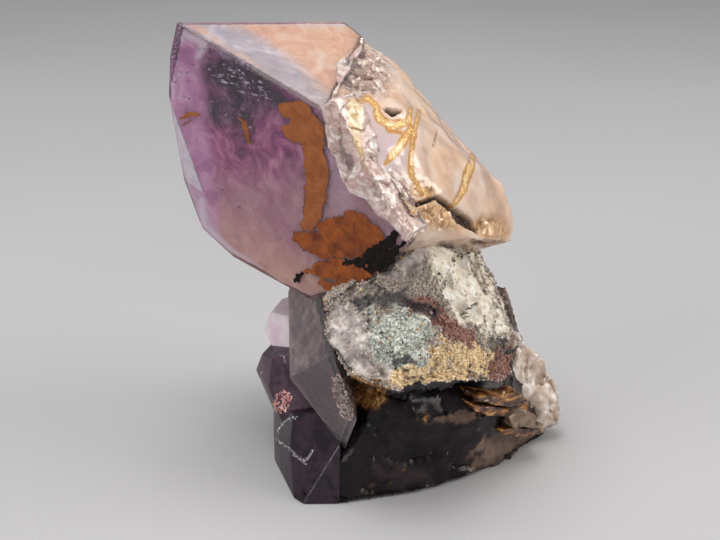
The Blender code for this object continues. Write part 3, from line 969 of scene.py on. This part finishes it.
def make_quartz_body():
    made = broken_body("quartz_body", QUARTZ_POINTS, 0.5, ((14.0, 0.8, 11), (4.0, 0.22, 12)))
    mesh = made.data
    points, normals = surface_of(mesh)
    column, row = photo_pixels(points)
    front = facing_camera(points, normals)
    wander = noise_field(points, 3.0, 39) * 2.2
    veins = stroke_mask(column + wander, row - wander, VEINS, 3.2) * front
    masks = {
        "sparkle": patch_mask(column, row, SPARKLE_PATCHES, 0.35) * front,
        "tan": patch_mask(column, row, TAN_PATCHES, 0.45) * front,
        "lilac": patch_mask(column, row, LILAC_PATCHES, 0.5) * front,
        "shade": stroke_mask(column + wander, row, SHADED_STROKES, 5.0) * front * 0.6,
        "crack": stroke_mask(column, row, CRACKS, 1.0) * front,
        "vein": np.maximum(veins, thin_veins(points, 13.0, 0.06, 21) * (1.0 - front))}
    broken = masks["sparkle"] + 0.9 * masks["tan"] + 0.06
    shards = shard_field(points, 3.8, 0.24, 0.4, 31) * broken
    shards += np.abs(noise_field(points, 2.4, 37)) * 0.3 * np.maximum(masks["sparkle"],
                                                                      masks["tan"])
    push_out(mesh, points, normals,
             -np.abs(shards) - masks["crack"] * 1.6 - masks["vein"] * 0.12)
    set_masks(mesh, masks)
    finish_piece(made, quartz_material(), slot="milky_quartz", sharp_from=28.0)


def make_back():
    made = broken_body("back_growth", BACK_POINTS, 0.6, ((9.0, 1.0, 81), (3.0, 0.35, 82)),
                       ((5.0, 0.3, 0.5, 83),))
    points, _ = surface_of(made.data)
    masks = dict.fromkeys(("sparkle", "crack", "tan", "lilac", "shade"), np.zeros(len(points)))
    set_masks(made.data, {**masks, "vein": thin_veins(points, 11.0, 0.07, 85)})
    finish_piece(made, quartz_material(), slot="milky_quartz", sharp_from=28.0)


# The glassy broken zone where the large point meets the milky quartz

FRACTURE_OUTLINE = (
    (321, 106), (327, 134), (336, 166), (350, 188), (366, 203), (388, 223), (408, 243),
    (413, 234), (399, 212), (381, 184), (368, 162), (356, 138), (346, 116), (336, 98),
)
FRACTURE_TOP_OUTLINE = (
    (362, 37), (357, 47), (335, 63), (336, 84), (327, 104), (334, 100), (346, 78), (364, 46),
)
FRACTURE_GOLD = (((366, 168, 2), (359, 146, 5), (356, 122, 6), (355, 102, 5)),)
FRACTURE_TONES = {
    "glass": ((0.30, 0.38, 0.22, 0.21), (0.44, 0.60, 0.42, 0.37), (0.58, 0.84, 0.68, 0.62),
              (0.66, 0.99, 0.96, 0.93)),
    "gold": ((0.30, 0.46, 0.24, 0.07), (0.46, 0.74, 0.52, 0.24), (0.62, 0.98, 0.90, 0.68)),
}


def fracture_material():
    shader = Shader("fracture_glass_quartz")
    chip = shader.noise(2.6, 5.0, 0.6, 1.5)
    tones = shader.tones(chip, FRACTURE_TONES)
    return shader.finished(
        shader.zoned(tones["glass"], gold=tones["gold"]), 0.10, scatter=(0.4, 2.0),
        relief=(shader.noise(2.0, 3.0, 0.55, 0.8), 0.14, 0.6), IOR=QUARTZ_IOR,
        Coat_Weight=0.8, Coat_Roughness=0.04, Transmission_Weight=0.3)


def make_fracture_glass():
    material = fracture_material()
    for name, normal, outline, proud, back in (
            ("fracture_glass", FRONT_FACE, FRACTURE_OUTLINE, 0.7, -6.0),
            ("fracture_glass_top", TOP_FACE, FRACTURE_TOP_OUTLINE, 0.45, -3.0)):
        made = remeshed(slab(name, mm_point(TIP), normal, outline, proud, back), 0.35)
        points, normals = surface_of(made.data)
        lift = noise_field(points, 6.0, 33) * proud
        lift -= np.abs(shard_field(points, 5.0, 0.20, 0.3, 34))
        lift -= np.abs(noise_field(points, 3.0, 35)) * 0.3
        push_out(made.data, points, normals, lift)
        set_masks(made.data, {"gold": stroke_mask(*photo_pixels(points), FRACTURE_GOLD, 3.0)})
        finish_piece(made, material, slot="milky_quartz", sharp_from=24.0)


# The crusted block and its zones
CRUST_ZONES = {
    "sand": ((462, 362, 42, 20, -8), (415, 378, 26, 12, -10)),
    "rust": ((436, 316, 32, 10, 40), (468, 336, 14, 8, 30), (508, 362, 12, 22, 20)),
    "glass": ((346, 332, 26, 36, 10), (372, 368, 26, 8, 10), (415, 262, 24, 10, -30)),
    "green": ((400, 340, 34, 34, 20),),
    "dark": ((378, 298, 30, 7, -14), (412, 300, 24, 6, 34), (404, 362, 12, 6, 0),
             (392, 262, 22, 6, -38), (500, 345, 10, 6, 20)),
    # Amber quartz, brightened as painted glow of light through it
    "amber": ((366, 388, 30, 16, 24), (512, 384, 8, 16, 10)),
    "cream": ((472, 284, 62, 27, 52), (436, 246, 18, 8, 20)),
}
# The way that the block's glassy parts are striped
BEDDING = (0.55, 0.35, -0.76)
GRAIN_SEED = 77
MOST_GRAINS = 9000
GRAIN_SIZES = (0.14, 0.42)
# The share of the grains that have another zone's colour
ODD_GRAINS = 0.10
# Colours of the crust: grainy ones, blotched ones, and how they lie over grey
SPECKLED_TONES = {
    "grey": ((0.30, 0.09, 0.07, 0.06), (0.50, 0.36, 0.30, 0.25), (0.70, 0.80, 0.72, 0.62)),
    "green": ((0.34, 0.08, 0.11, 0.13), (0.46, 0.40, 0.44, 0.40), (0.60, 0.97, 0.97, 0.84)),
    "sand": ((0.30, 0.22, 0.11, 0.04), (0.46, 0.74, 0.50, 0.26), (0.62, 1.0, 0.88, 0.60)),
    "rust": ((0.32, 0.06, 0.02, 0.02), (0.52, 0.30, 0.13, 0.10), (0.72, 0.66, 0.46, 0.36)),
    "dark": ((0.35, 0.010, 0.009, 0.012), (0.75, 0.09, 0.085, 0.10)),
}
BLOTCHED_TONES = {
    "glass": ((0.28, 0.22, 0.17, 0.16), (0.50, 0.50, 0.43, 0.40), (0.70, 0.90, 0.84, 0.79)),
    "cream": ((0.28, 0.60, 0.50, 0.39), (0.46, 0.92, 0.83, 0.70), (0.66, 1.0, 0.97, 0.90)),
    "amber": ((0.30, 0.10, 0.035, 0.010), (0.50, 0.36, 0.17, 0.05), (0.70, 0.72, 0.46, 0.20)),
}
CRUST_LAYERS = ("green", "sand", "glass", "cream", "rust", "dark", "amber")


def crust_material():
    shader = Shader("druse_crust")
    speck = shader.noise(0.55, 4.0, 0.75)
    blotch = shader.noise(2.6, 5.0, 0.65, 0.6)
    tones = {**shader.tones(speck, SPECKLED_TONES), **shader.tones(blotch, BLOTCHED_TONES)}
    colour = shader.zoned(tones["grey"], **{name: tones[name] for name in CRUST_LAYERS})
    glossy = shader.math("MAXIMUM", shader.mask("glass"), shader.mask("cream"))
    return shader.finished(colour, shader.spread(glossy, 0.0, 1.0, 0.62, 0.18),
                           scatter=(0.15, 1.0), relief=(speck, 0.35, 0.9))


def zone_masks(points, normals, zones, seed, soft):
    """Masks of patches in pixels, with outlines that wander by a few pixels."""
    column, row = photo_pixels(points)
    column = column + noise_field(points, 5.0, seed) * 9.0
    row = row + noise_field(points, 5.0, seed + 1) * 9.0
    front = facing_camera(points, normals)
    masks = {}
    for index, (name, patches) in enumerate(zones.items()):
        mottle = noise_field(points, 2.4, seed + 7 * index, 4) * 0.55
        mask = patch_mask(column, row, patches, soft) + mottle
        masks[name] = smooth_step(mask, 0.36, 0.66) * front
    return masks


def make_crusted_block():
    made = broken_body("crusted_block", CRUST_POINTS, 0.45, ((9.0, 0.4, 41), (2.2, 0.22, 42)),
                       ((9.0, 0.26, 0.7, 48), (4.0, 0.16, 0.2, 43)))
    mesh = made.data
    points, normals = surface_of(mesh)
    masks = zone_masks(points, normals, CRUST_ZONES, 51, 0.6)
    along = points @ np.array(Vector(BEDDING).normalized())
    squeezed = points - np.outer(along, BEDDING) * 0.75
    smooth = np.maximum(masks["glass"], masks["cream"])
    ridge = np.abs(noise_field(squeezed, 3.6, 47)) * 1.5 * smooth
    push_out(mesh, points, normals,
             -ridge + noise_field(points, 0.9, 45, 2) * (0.22 - 0.18 * smooth))
    # Painted shade: the faces that look down are laid dark
    under = smooth_step(-normals[:, 2], 0.1, 0.35)
    masks["dark"] = np.maximum(masks["dark"] * 0.85, under)
    # The amber, a painted glow of light through the quartz, only on the underside
    masks["amber"] = masks["amber"] * under
    set_masks(mesh, masks)
    return finish_piece(made, crust_material(), slot="druse_crust", sharp_from=32.0)


def make_druse_grains(block):
    """Tiny quartz grains grown all over the crusted block, thickest where it isn't glassy."""
    rng = np.random.default_rng(GRAIN_SEED)
    mesh = block.data
    points, normals = surface_of(mesh)
    # The grains take the block's zones, with the painted shade underneath
    masks = {name: np.array([item.value for item in mesh.attributes[name].data])
             for name in CRUST_ZONES}
    chance = 1.0 - 0.9 * np.maximum(masks["glass"], masks["cream"]) - 0.5 * masks["dark"]
    chance *= (normals[:, 1] < 0.2) * 0.85 + 0.15
    order = rng.permutation(len(points))
    shapes = []
    values = {name: [] for name in CRUST_ZONES}
    for i in [i for i in order if rng.random() < chance[i]][:MOST_GRAINS]:
        size = rng.uniform(*GRAIN_SIZES) * MM
        shapes.append(turned(rng, grain_shape(rng)) * size + points[i] + normals[i] * size * 0.3)
        odd = rng.choice(list(values)) if rng.random() < ODD_GRAINS else None
        for name, column in values.items():
            column.extend([1.0 if name == odd else masks[name][i]] * len(GRAIN_CORNERS))
    made = grain_mesh("druse_grains", np.clip(shapes, BOX_LOW, BOX_HIGH))
    set_masks(made.data, values)
    finish_piece(made, crust_material(), slot="druse_crust")


# The base, and the ledges and the wing at its right

BASE_ZONES = {
    "pale": ((520, 446, 52, 26, -28), (456, 420, 22, 7, -12)),
    # Amber edges, brightened as painted glow of light through them
    "amber": ((364, 389, 24, 15, 36), (500, 404, 30, 10, 6)),
}
# The dark tones are smoky quartz with painted shade under the crusted block's overhang
BASE_TONES = {
    "dark": ((0.30, 0.004, 0.003, 0.004), (0.55, 0.012, 0.008, 0.009),
             (0.78, 0.045, 0.028, 0.030)),
    "pale": ((0.28, 0.035, 0.022, 0.018), (0.50, 0.11, 0.07, 0.052), (0.75, 0.30, 0.20, 0.15)),
    "amber": ((0.3, 0.05, 0.018, 0.007), (0.5, 0.30, 0.12, 0.035), (0.68, 0.80, 0.48, 0.17)),
}
# The base stands flat on everything of it that lies below this height, in millimetres
FLAT_BELOW = 0.5


def base_material():
    shader = Shader("smoky_base_with_painted_shade")
    haze = shader.noise(7.0, 5.0, 0.6, 0.8)
    amber = shader.ramp(shader.noise(1.5, 4.0, 0.6, 1.2), *BASE_TONES["amber"])
    colour = shader.zoned(shader.ramp(haze, *BASE_TONES["dark"]),
                          pale=shader.ramp(haze, *BASE_TONES["pale"]), amber=amber)
    wet = shader.spread(shader.noise(3.0, 4.0), 0.35, 0.7, 0.14, 0.34)
    return shader.finished(
        colour, wet, scatter=(0.2, 2.0),
        relief=(shader.noise(1.6, 4.0, 0.55, 0.6), 0.12, 0.6), IOR=QUARTZ_IOR,
        Specular_IOR_Level=0.2)


def make_base():
    made = broken_body("base_mass", BASE_POINTS, 0.6, ((16.0, 1.0, 61), (5.0, 0.45, 62)),
                       ((11.0, 0.14, 0.3, 63),))
    points, normals = surface_of(made.data)
    masks = zone_masks(points, normals, BASE_ZONES, 65, 0.5)
    # The back is laid paler, since the near-black front is partly painted shade
    away = smooth_step(points[:, 1], 2.0 * MM, 20.0 * MM)
    masks["pale"] = np.maximum(masks["pale"], away * 0.8)
    points[points[:, 2] < FLAT_BELOW * MM, 2] = 0.0
    set_points(made.data, points)
    set_masks(made.data, masks)
    finish_piece(made, base_material(), slot="smoky_quartz", sharp_from=28.0)


UPPER_LEDGE = ((474, 394), (500, 394), (514, 388), (529, 399), (527, 403), (505, 406), (476, 401))
LOWER_LEDGE = ((472, 404), (505, 407), (524, 404), (516, 412), (505, 416), (488, 416), (474, 411))
BLOCK_OUTLINE = ((507, 415), (512, 412), (531, 412), (542, 423), (541, 428), (511, 428))
SEAM_OUTLINE = ((500, 431), (511, 428), (542, 428), (541, 435), (526, 437), (505, 437))
AMBER_STOPS = ((0.34, 0.015, 0.006, 0.004), (0.47, 0.10, 0.035, 0.010),
               (0.58, 0.30, 0.12, 0.025), (0.72, 0.64, 0.38, 0.14))
BEIGE_STOPS = ((0.32, 0.12, 0.075, 0.045), (0.50, 0.20, 0.13, 0.08), (0.70, 0.34, 0.25, 0.16))


def layered_material(name, roughness, stops):
    shader = Shader(name)
    layers = shader.noise(4.0, 4.0, 0.55, 0.5, (0.0, 12.0, 0.0), (1.0, 1.0, 3.5))
    return shader.finished(shader.ramp(layers, *stops), roughness, scatter=(0.4, 1.5),
                           relief=(layers, 0.15, 0.6), IOR=QUARTZ_IOR, Coat_Weight=0.3,
                           Coat_Roughness=0.12)


def make_ledges():
    """Layered ledges and a small block, on an upright plane at the right of the base."""
    place = mm_point((35.4, -10.4, 13.0))
    normal = Vector((0.58, -0.81, 0.0)).normalized()
    amber = layered_material("amber_layers", 0.25, AMBER_STOPS)
    beige = layered_material("beige_quartz", 0.18, BEIGE_STOPS)
    for name, outline, front, depth, seed, material, slot in (
            ("amber_ledge_1", UPPER_LEDGE, 1.0, 0.14, 91, amber, "iron_oxide"),
            ("amber_ledge_2", LOWER_LEDGE, 0.4, 0.14, 92, amber, "iron_oxide"),
            ("beige_block", BLOCK_OUTLINE, 0.6, 0.08, 95, beige, "milky_quartz"),
            ("amber_seam", SEAM_OUTLINE, 0.1, 0.12, 97, amber, "iron_oxide")):
        made = remeshed(slab(name, place, normal, outline, front, -7.0), 0.28)
        points, normals = surface_of(made.data)
        shards = np.abs(shard_field(points, 3.2, 0.24, depth, seed + 1))
        push_out(made.data, points, normals, noise_field(points, 2.6, seed) * depth - shards)
        finish_piece(made, material, slot=slot, sharp_from=26.0)


def make_wing():
    made = broken_body("pale_wing", WING_POINTS, 0.35, ((6.0, 1.3, 71), (2.5, 0.18, 72)),
                       ((4.5, 0.30, 0.6, 73),))
    shader = Shader("pale_wing_quartz")
    colour = shader.ramp(shader.noise(3.5, 5.0, 0.6, 0.8), (0.30, 0.42, 0.30, 0.22),
                         (0.46, 0.64, 0.51, 0.42), (0.66, 0.90, 0.84, 0.80))
    material = shader.finished(
        colour, 0.16, scatter=(0.7, 4.0), relief=(shader.noise(1.6, 4.0, 0.55, 0.5), 0.12, 0.6),
        IOR=QUARTZ_IOR, Transmission_Weight=0.15, Coat_Weight=0.4, Coat_Roughness=0.1)
    finish_piece(made, material, slot="milky_quartz", sharp_from=24.0)


# The small crystals

SIDE_PRISM_INSIDE = (-4.0, -5.0, 30.0)
PRISM_UPPER_LEFT = (-15.2, -8.0, 40.9)
PRISM_LOWER_LEFT = (-14.6, -18.0, 25.7)
PRISM_RIDGE_END = (-5.3, -28.0, 36.6)
PRISM_FOOT = (-3.1, -24.0, 12.1)
PRISM_RIGHT_TOP = Vector((-5.3, -27.9, 36.1))
PRISM_RIGHT_KNEE = Vector((-0.6, -28.2, 21.5))
STRAIGHT_BACK = Vector((0.0, 10.0, 0.0))
SIDE_PRISM_FACETS = (
    (PRISM_UPPER_LEFT, PRISM_LOWER_LEFT, PRISM_RIDGE_END),
    (PRISM_LOWER_LEFT, PRISM_RIDGE_END, PRISM_FOOT),
    (PRISM_UPPER_LEFT, PRISM_LOWER_LEFT, (-13.0, 14.0, 33.0)),
    (PRISM_UPPER_LEFT, (-5.0, -18.0, 46.0), (-10.0, 10.0, 44.0)),
    (PRISM_LOWER_LEFT, PRISM_FOOT, (-8.0, 4.0, 12.0)),
    (PRISM_RIGHT_TOP, PRISM_RIGHT_KNEE, PRISM_RIGHT_TOP + STRAIGHT_BACK),
    (PRISM_RIGHT_KNEE, PRISM_FOOT, PRISM_RIGHT_KNEE + STRAIGHT_BACK),
    ((8.0, -20.0, 20.0), (8.0, 10.0, 20.0), (8.0, 0.0, 40.0)),
    ((-10.0, 18.0, 20.0), (6.0, 18.0, 20.0), (0.0, 18.0, 40.0)),
    ((-10.0, 0.0, 6.0), (0.0, 0.0, 6.0), (0.0, -8.0, 6.0)),
)
LILAC_INSIDE = (-15.0, 5.0, 27.0)
LILAC_FACETS = (
    ((-21.6, 4.0, 26.6), (-19.9, 3.0, 31.4), (-19.4, 10.0, 28.0)),
    ((-21.6, 4.0, 26.6), (-19.9, 3.0, 31.4), (-16.4, -2.0, 26.0)),
    ((-21.6, 4.0, 26.6), (-18.9, 0.5, 22.2), (-16.4, -2.0, 26.0)),
    ((-21.6, 4.0, 26.6), (-18.9, 0.5, 22.2), (-19.0, 8.0, 21.0)),
    ((-19.9, 3.0, 31.4), (-15.0, 2.0, 32.4), (-16.0, 9.0, 32.0)),
    ((-15.0, 11.0, 20.0), (-18.0, 10.5, 27.0), (-8.0, 12.0, 30.0)),
    ((-18.9, 0.5, 21.0), (-12.0, 0.0, 20.0), (-14.0, 8.0, 20.0)),
    ((-6.0, 0.0, 20.0), (-6.0, 8.0, 20.0), (-6.0, 4.0, 34.0)),
)
SMALL_DARK_INSIDE = (-14.0, 0.0, 17.0)
SMALL_DARK_FACETS = (
    ((-23.5, 1.0, 18.0), (-21.8, -1.0, 23.0), (-20.0, -6.0, 17.0)),
    ((-23.5, 1.0, 18.0), (-21.8, -1.0, 23.0), (-20.0, 7.0, 20.0)),
    ((-23.5, 1.0, 18.0), (-20.0, -6.0, 17.0), (-19.0, -5.0, 10.4)),
    ((-23.5, 1.0, 18.0), (-19.0, -5.0, 10.4), (-19.0, 6.0, 10.0)),
    ((-21.8, -1.0, 23.0), (-17.0, -4.0, 25.0), (-17.0, 6.0, 25.0)),
    ((-20.0, -6.0, 17.0), (-14.5, -9.0, 20.5), (-15.0, -10.0, 11.0)),
    ((-19.0, -5.0, 10.4), (-15.0, -10.0, 10.0), (-14.0, 5.0, 8.0)),
    ((-18.0, 9.0, 16.0), (-10.0, 11.0, 16.0), (-14.0, 10.0, 24.0)),
    ((-5.0, 0.0, 10.0), (-5.0, 8.0, 10.0), (-5.0, 4.0, 24.0)),
)
FOOT_INSIDE = (-10.0, -10.0, 6.0)
FOOT_RIDGE_LEFT = (-19.5, -4.0, 6.0)
FOOT_RIDGE_MIDDLE = (-15.1, -16.0, 8.4)
FOOT_TOP_LEFT = (-17.8, -6.0, 12.0)
FOOT_FACETS = (
    (FOOT_RIDGE_LEFT, FOOT_RIDGE_MIDDLE, (-16.2, -21.0, 0.0)),
    (FOOT_RIDGE_LEFT, FOOT_RIDGE_MIDDLE, FOOT_TOP_LEFT),
    (FOOT_RIDGE_LEFT, (-19.4, -12.0, 0.0), (-18.5, 6.0, 3.0)),
    ((-16.2, -21.0, 0.0), (-12.6, -26.0, 0.0), (-13.0, -21.0, 9.0)),
    ((-12.6, -25.9, 0.0), (-3.0, -25.7, 0.0), (-8.0, -24.5, 12.0)),
    (FOOT_TOP_LEFT, (-13.6, -13.0, 14.5), (-8.0, -6.0, 16.0)),
    (FOOT_RIDGE_MIDDLE, (-13.6, -13.0, 14.5), (-6.0, -24.0, 11.0)),
    ((-18.0, 8.0, 6.0), (-8.0, 10.0, 6.0), (-12.0, 9.0, 14.0)),
    ((-4.0, -24.0, 0.0), (-1.0, 0.0, 0.0), (-1.0, 0.0, 12.0)),
    ((-10.0, 0.0, 0.0), (0.0, 0.0, 0.0), (0.0, -8.0, 0.0)),
)


# Slot, inside point, facets, bevel, tints, haze, gloss and absorption of each small crystal
SMALL_CRYSTALS = {
    "side_prism": (
        "smoky_quartz", SIDE_PRISM_INSIDE, SIDE_PRISM_FACETS, 0.25,
        ((0.84, 0.76, 0.78), (0.94, 0.90, 0.92)), 0.03, 0.3, ((0.74, 0.54, 0.64), 90.0)),
    "lilac_crystal": (
        "amethyst", LILAC_INSIDE, LILAC_FACETS, 0.5,
        ((0.96, 0.70, 0.84), (1.0, 0.92, 0.97)), 0.65, 0.3, ((0.80, 0.60, 0.80), 60.0)),
    "small_dark_crystal": (
        "smoky_quartz", SMALL_DARK_INSIDE, SMALL_DARK_FACETS, 0.3,
        ((0.035, 0.012, 0.024), (0.14, 0.07, 0.11)), 0.5, 0.16, ((0.45, 0.22, 0.36), 400.0)),
    "dark_foot_crystal": (
        "smoky_quartz", FOOT_INSIDE, FOOT_FACETS, 0.35,
        ((0.014, 0.008, 0.014), (0.06, 0.03, 0.055)), 0.5, 0.16, ((0.40, 0.22, 0.38), 400.0)),
}


def make_small_crystal(name):
    slot, inside, facets, bevel, tints, haze, gloss, absorption = SMALL_CRYSTALS[name]
    made = bevelled(add_built(name, cut_block(inside, facets)), bevel)
    material = clear_material(name + "_quartz", tints, 4.0, haze, 0.12, gloss, absorption)
    finish_piece(made, material, slot=slot, sharp_from=12.0)


def make_prism_cloud():
    """The clouded inside of the side prism, with painted shade behind its lower face."""
    insets = (0.9,) * len(SIDE_PRISM_FACETS)
    block = cut_block(SIDE_PRISM_INSIDE, SIDE_PRISM_FACETS, insets)
    made = remeshed(add_built("side_prism_cloud", block), 0.6)
    points, normals = surface_of(made.data)
    push_out(made.data, points, normals, noise_field(points, 4.0, 16) * 0.5)
    lower_face = facet_normal(SIDE_PRISM_FACETS[1], SIDE_PRISM_INSIDE)
    _, moved_normals = surface_of(made.data)
    leaning = moved_normals @ np.array(lower_face)
    set_masks(made.data, {"dark_side": smooth_step(leaning, 0.75, 0.92)})
    shader = Shader("side_prism_cloud_haze")
    colour = shader.ramp(shader.noise(3.0, 6.0, 0.65, 1.0), (0.28, 0.10, 0.06, 0.06),
                         (0.50, 0.31, 0.22, 0.21), (0.74, 0.60, 0.49, 0.45))
    # Painted shade for the lower face
    dark = shader.mix(0.85, colour, (0.070, 0.020, 0.036))
    material = shader.finished(shader.zoned(colour, dark_side=dark), 0.5, scatter=(0.4, 1.5),
                               relief=(shader.noise(1.2, 4.0, 0.6), 0.5, 0.8))
    finish_piece(made, material, slot="smoky_quartz", sharp_from=60.0)


# Painted highlights on chipped edges, as lines of (column, row) marks, and small rough patches
FOOT_GLINTS = (
    ((275, 438), (281, 443), (290, 449), (297, 457), (304, 461)),
    ((304, 461), (310, 456), (314, 450)),
    ((278, 431), (283, 423), (290, 418), (297, 417)),
    ((303, 461), (307, 465)),
)
DARK_GLINTS = (((280, 354), (284, 358), (286, 364)), ((262, 372), (260, 384)))
PRISM_GLINTS = (((289, 375), (302, 371), (331, 353)), ((333, 354), (344, 372), (352, 392)),
                ((346, 440), (356, 420)))
BUBBLY_PATCH = (343, 396, 9, 26, -14)
SALMON_PATCH = (282, 402, 9, 12, 30)


def make_edge_highlights_and_spots():
    shader = Shader("painted_edge_highlight")
    # Pale grains along the edges: painted highlights
    colour = shader.ramp(shader.noise(1.0, 3.0), (0.35, 0.26, 0.23, 0.26),
                         (0.62, 0.80, 0.78, 0.80))
    bright = shader.finished(colour, 0.12, IOR=QUARTZ_IOR)
    lines = (("dark_foot_crystal", FOOT_GLINTS, 0.35, 0.8, (0.03, 0.20)),
             ("small_dark_crystal", DARK_GLINTS, 0.5, 0.5, (0.04, 0.14)),
             ("side_prism", PRISM_GLINTS, 0.6, 0.3, (0.03, 0.09)))
    for index, (carrier, strokes, gap, scatter, sizes) in enumerate(lines):
        places = places_on_strokes(bpy.data.objects[carrier], strokes, gap, scatter, 500 + index)
        made = crumbs(carrier + "_edges", places, sizes, 510 + index, 0.4)
        finish_piece(made, bright, slot="milky_quartz")
    patches = (("side_prism", BUBBLY_PATCH, 260, (0.12, 0.42), "bubbly_skin",
                ((0.3, 0.12, 0.07, 0.07), (0.5, 0.30, 0.21, 0.19), (0.7, 0.62, 0.52, 0.46))),
               ("small_dark_crystal", SALMON_PATCH, 150, (0.10, 0.36), "salmon_spots",
                ((0.3, 0.20, 0.05, 0.06), (0.5, 0.56, 0.24, 0.22), (0.7, 0.90, 0.66, 0.62))))
    for index, (carrier, patch, count, sizes, name, stops) in enumerate(patches):
        places = places_in_patch(bpy.data.objects[carrier], patch, count, 520 + index)
        made = crumbs(name, places, sizes, 530 + index, 0.5)
        shader = Shader(name + "_quartz")
        colour = shader.ramp(shader.noise(1.0, 4.0, 0.7), *stops)
        finish_piece(made, shader.finished(colour, 0.2, IOR=QUARTZ_IOR), slot="smoky_quartz")


# Floor, light and camera

FLOOR_REACH = 5.0
LIGHT_AIM = Vector((0.0, 0.0, 0.05))
SOFTBOXES = (
    ("top", (-0.12, -0.02, 0.78), (0.5, 0.5), 5.4, (1.0, 0.98, 0.96)),
    ("front_left", (-0.60, -0.40, 0.32), (0.45, 0.45), 2.6, (1.0, 0.97, 0.95)),
    ("right_warm", (0.55, -0.12, 0.40), (0.40, 0.50), 2.9, (1.0, 0.95, 0.88)),
)


def make_floor():
    corners = [(x * FLOOR_REACH, y * FLOOR_REACH, 0.0)
               for x, y in ((-1, -1), (1, -1), (1, 1), (-1, 1))]
    floor = add_mesh("floor", corners, ((0, 1, 2, 3),))
    shader = Shader("pale_floor")
    colour = shader.ramp(shader.noise(300.0, 2.0), (0.3, 0.37, 0.37, 0.38),
                         (0.7, 0.40, 0.40, 0.41))
    floor.data.materials.append(shader.finished(colour, 0.7))


def make_light():
    world = bpy.data.worlds.new("studio")
    world.use_nodes = True
    background = world.node_tree.nodes["Background"]
    background.inputs["Color"].default_value = (0.92, 0.92, 0.95, 1.0)
    background.inputs["Strength"].default_value = 0.40
    bpy.context.scene.world = world
    for name, place, size, power, colour in SOFTBOXES:
        light = bpy.data.lights.new(name, "AREA")
        light.shape = "RECTANGLE"
        light.size, light.size_y = size
        light.energy = power
        light.color = colour
        made = add_object(name, light)
        made.location = place
        made.rotation_euler = (LIGHT_AIM - Vector(place)).to_track_quat("-Z", "Y").to_euler()
    bpy.context.scene.view_settings.view_transform = "Standard"


def make_camera():
    camera = bpy.data.cameras.new("camera")
    camera.lens = CAMERA_LENS
    camera.sensor_width = SENSOR_WIDTH
    camera.clip_start = 0.01
    made = add_object("camera", camera)
    made.location = CAMERA_PLACE
    made.rotation_euler = (math.radians(90.0) - CAMERA_PITCH, 0.0, 0.0)
    bpy.context.scene.camera = made


make_floor()
make_light()
make_camera()
make_large_point()
make_cloud()
make_iron_oxide()
make_flakes()
make_pale_sliver()
make_quartz_body()
make_fracture_glass()
make_druse_grains(make_crusted_block())
make_base()
make_ledges()
make_wing()
make_back()
make_small_crystal("side_prism")
make_prism_cloud()
make_small_crystal("lilac_crystal")
make_small_crystal("small_dark_crystal")
make_small_crystal("dark_foot_crystal")
make_edge_highlights_and_spots()
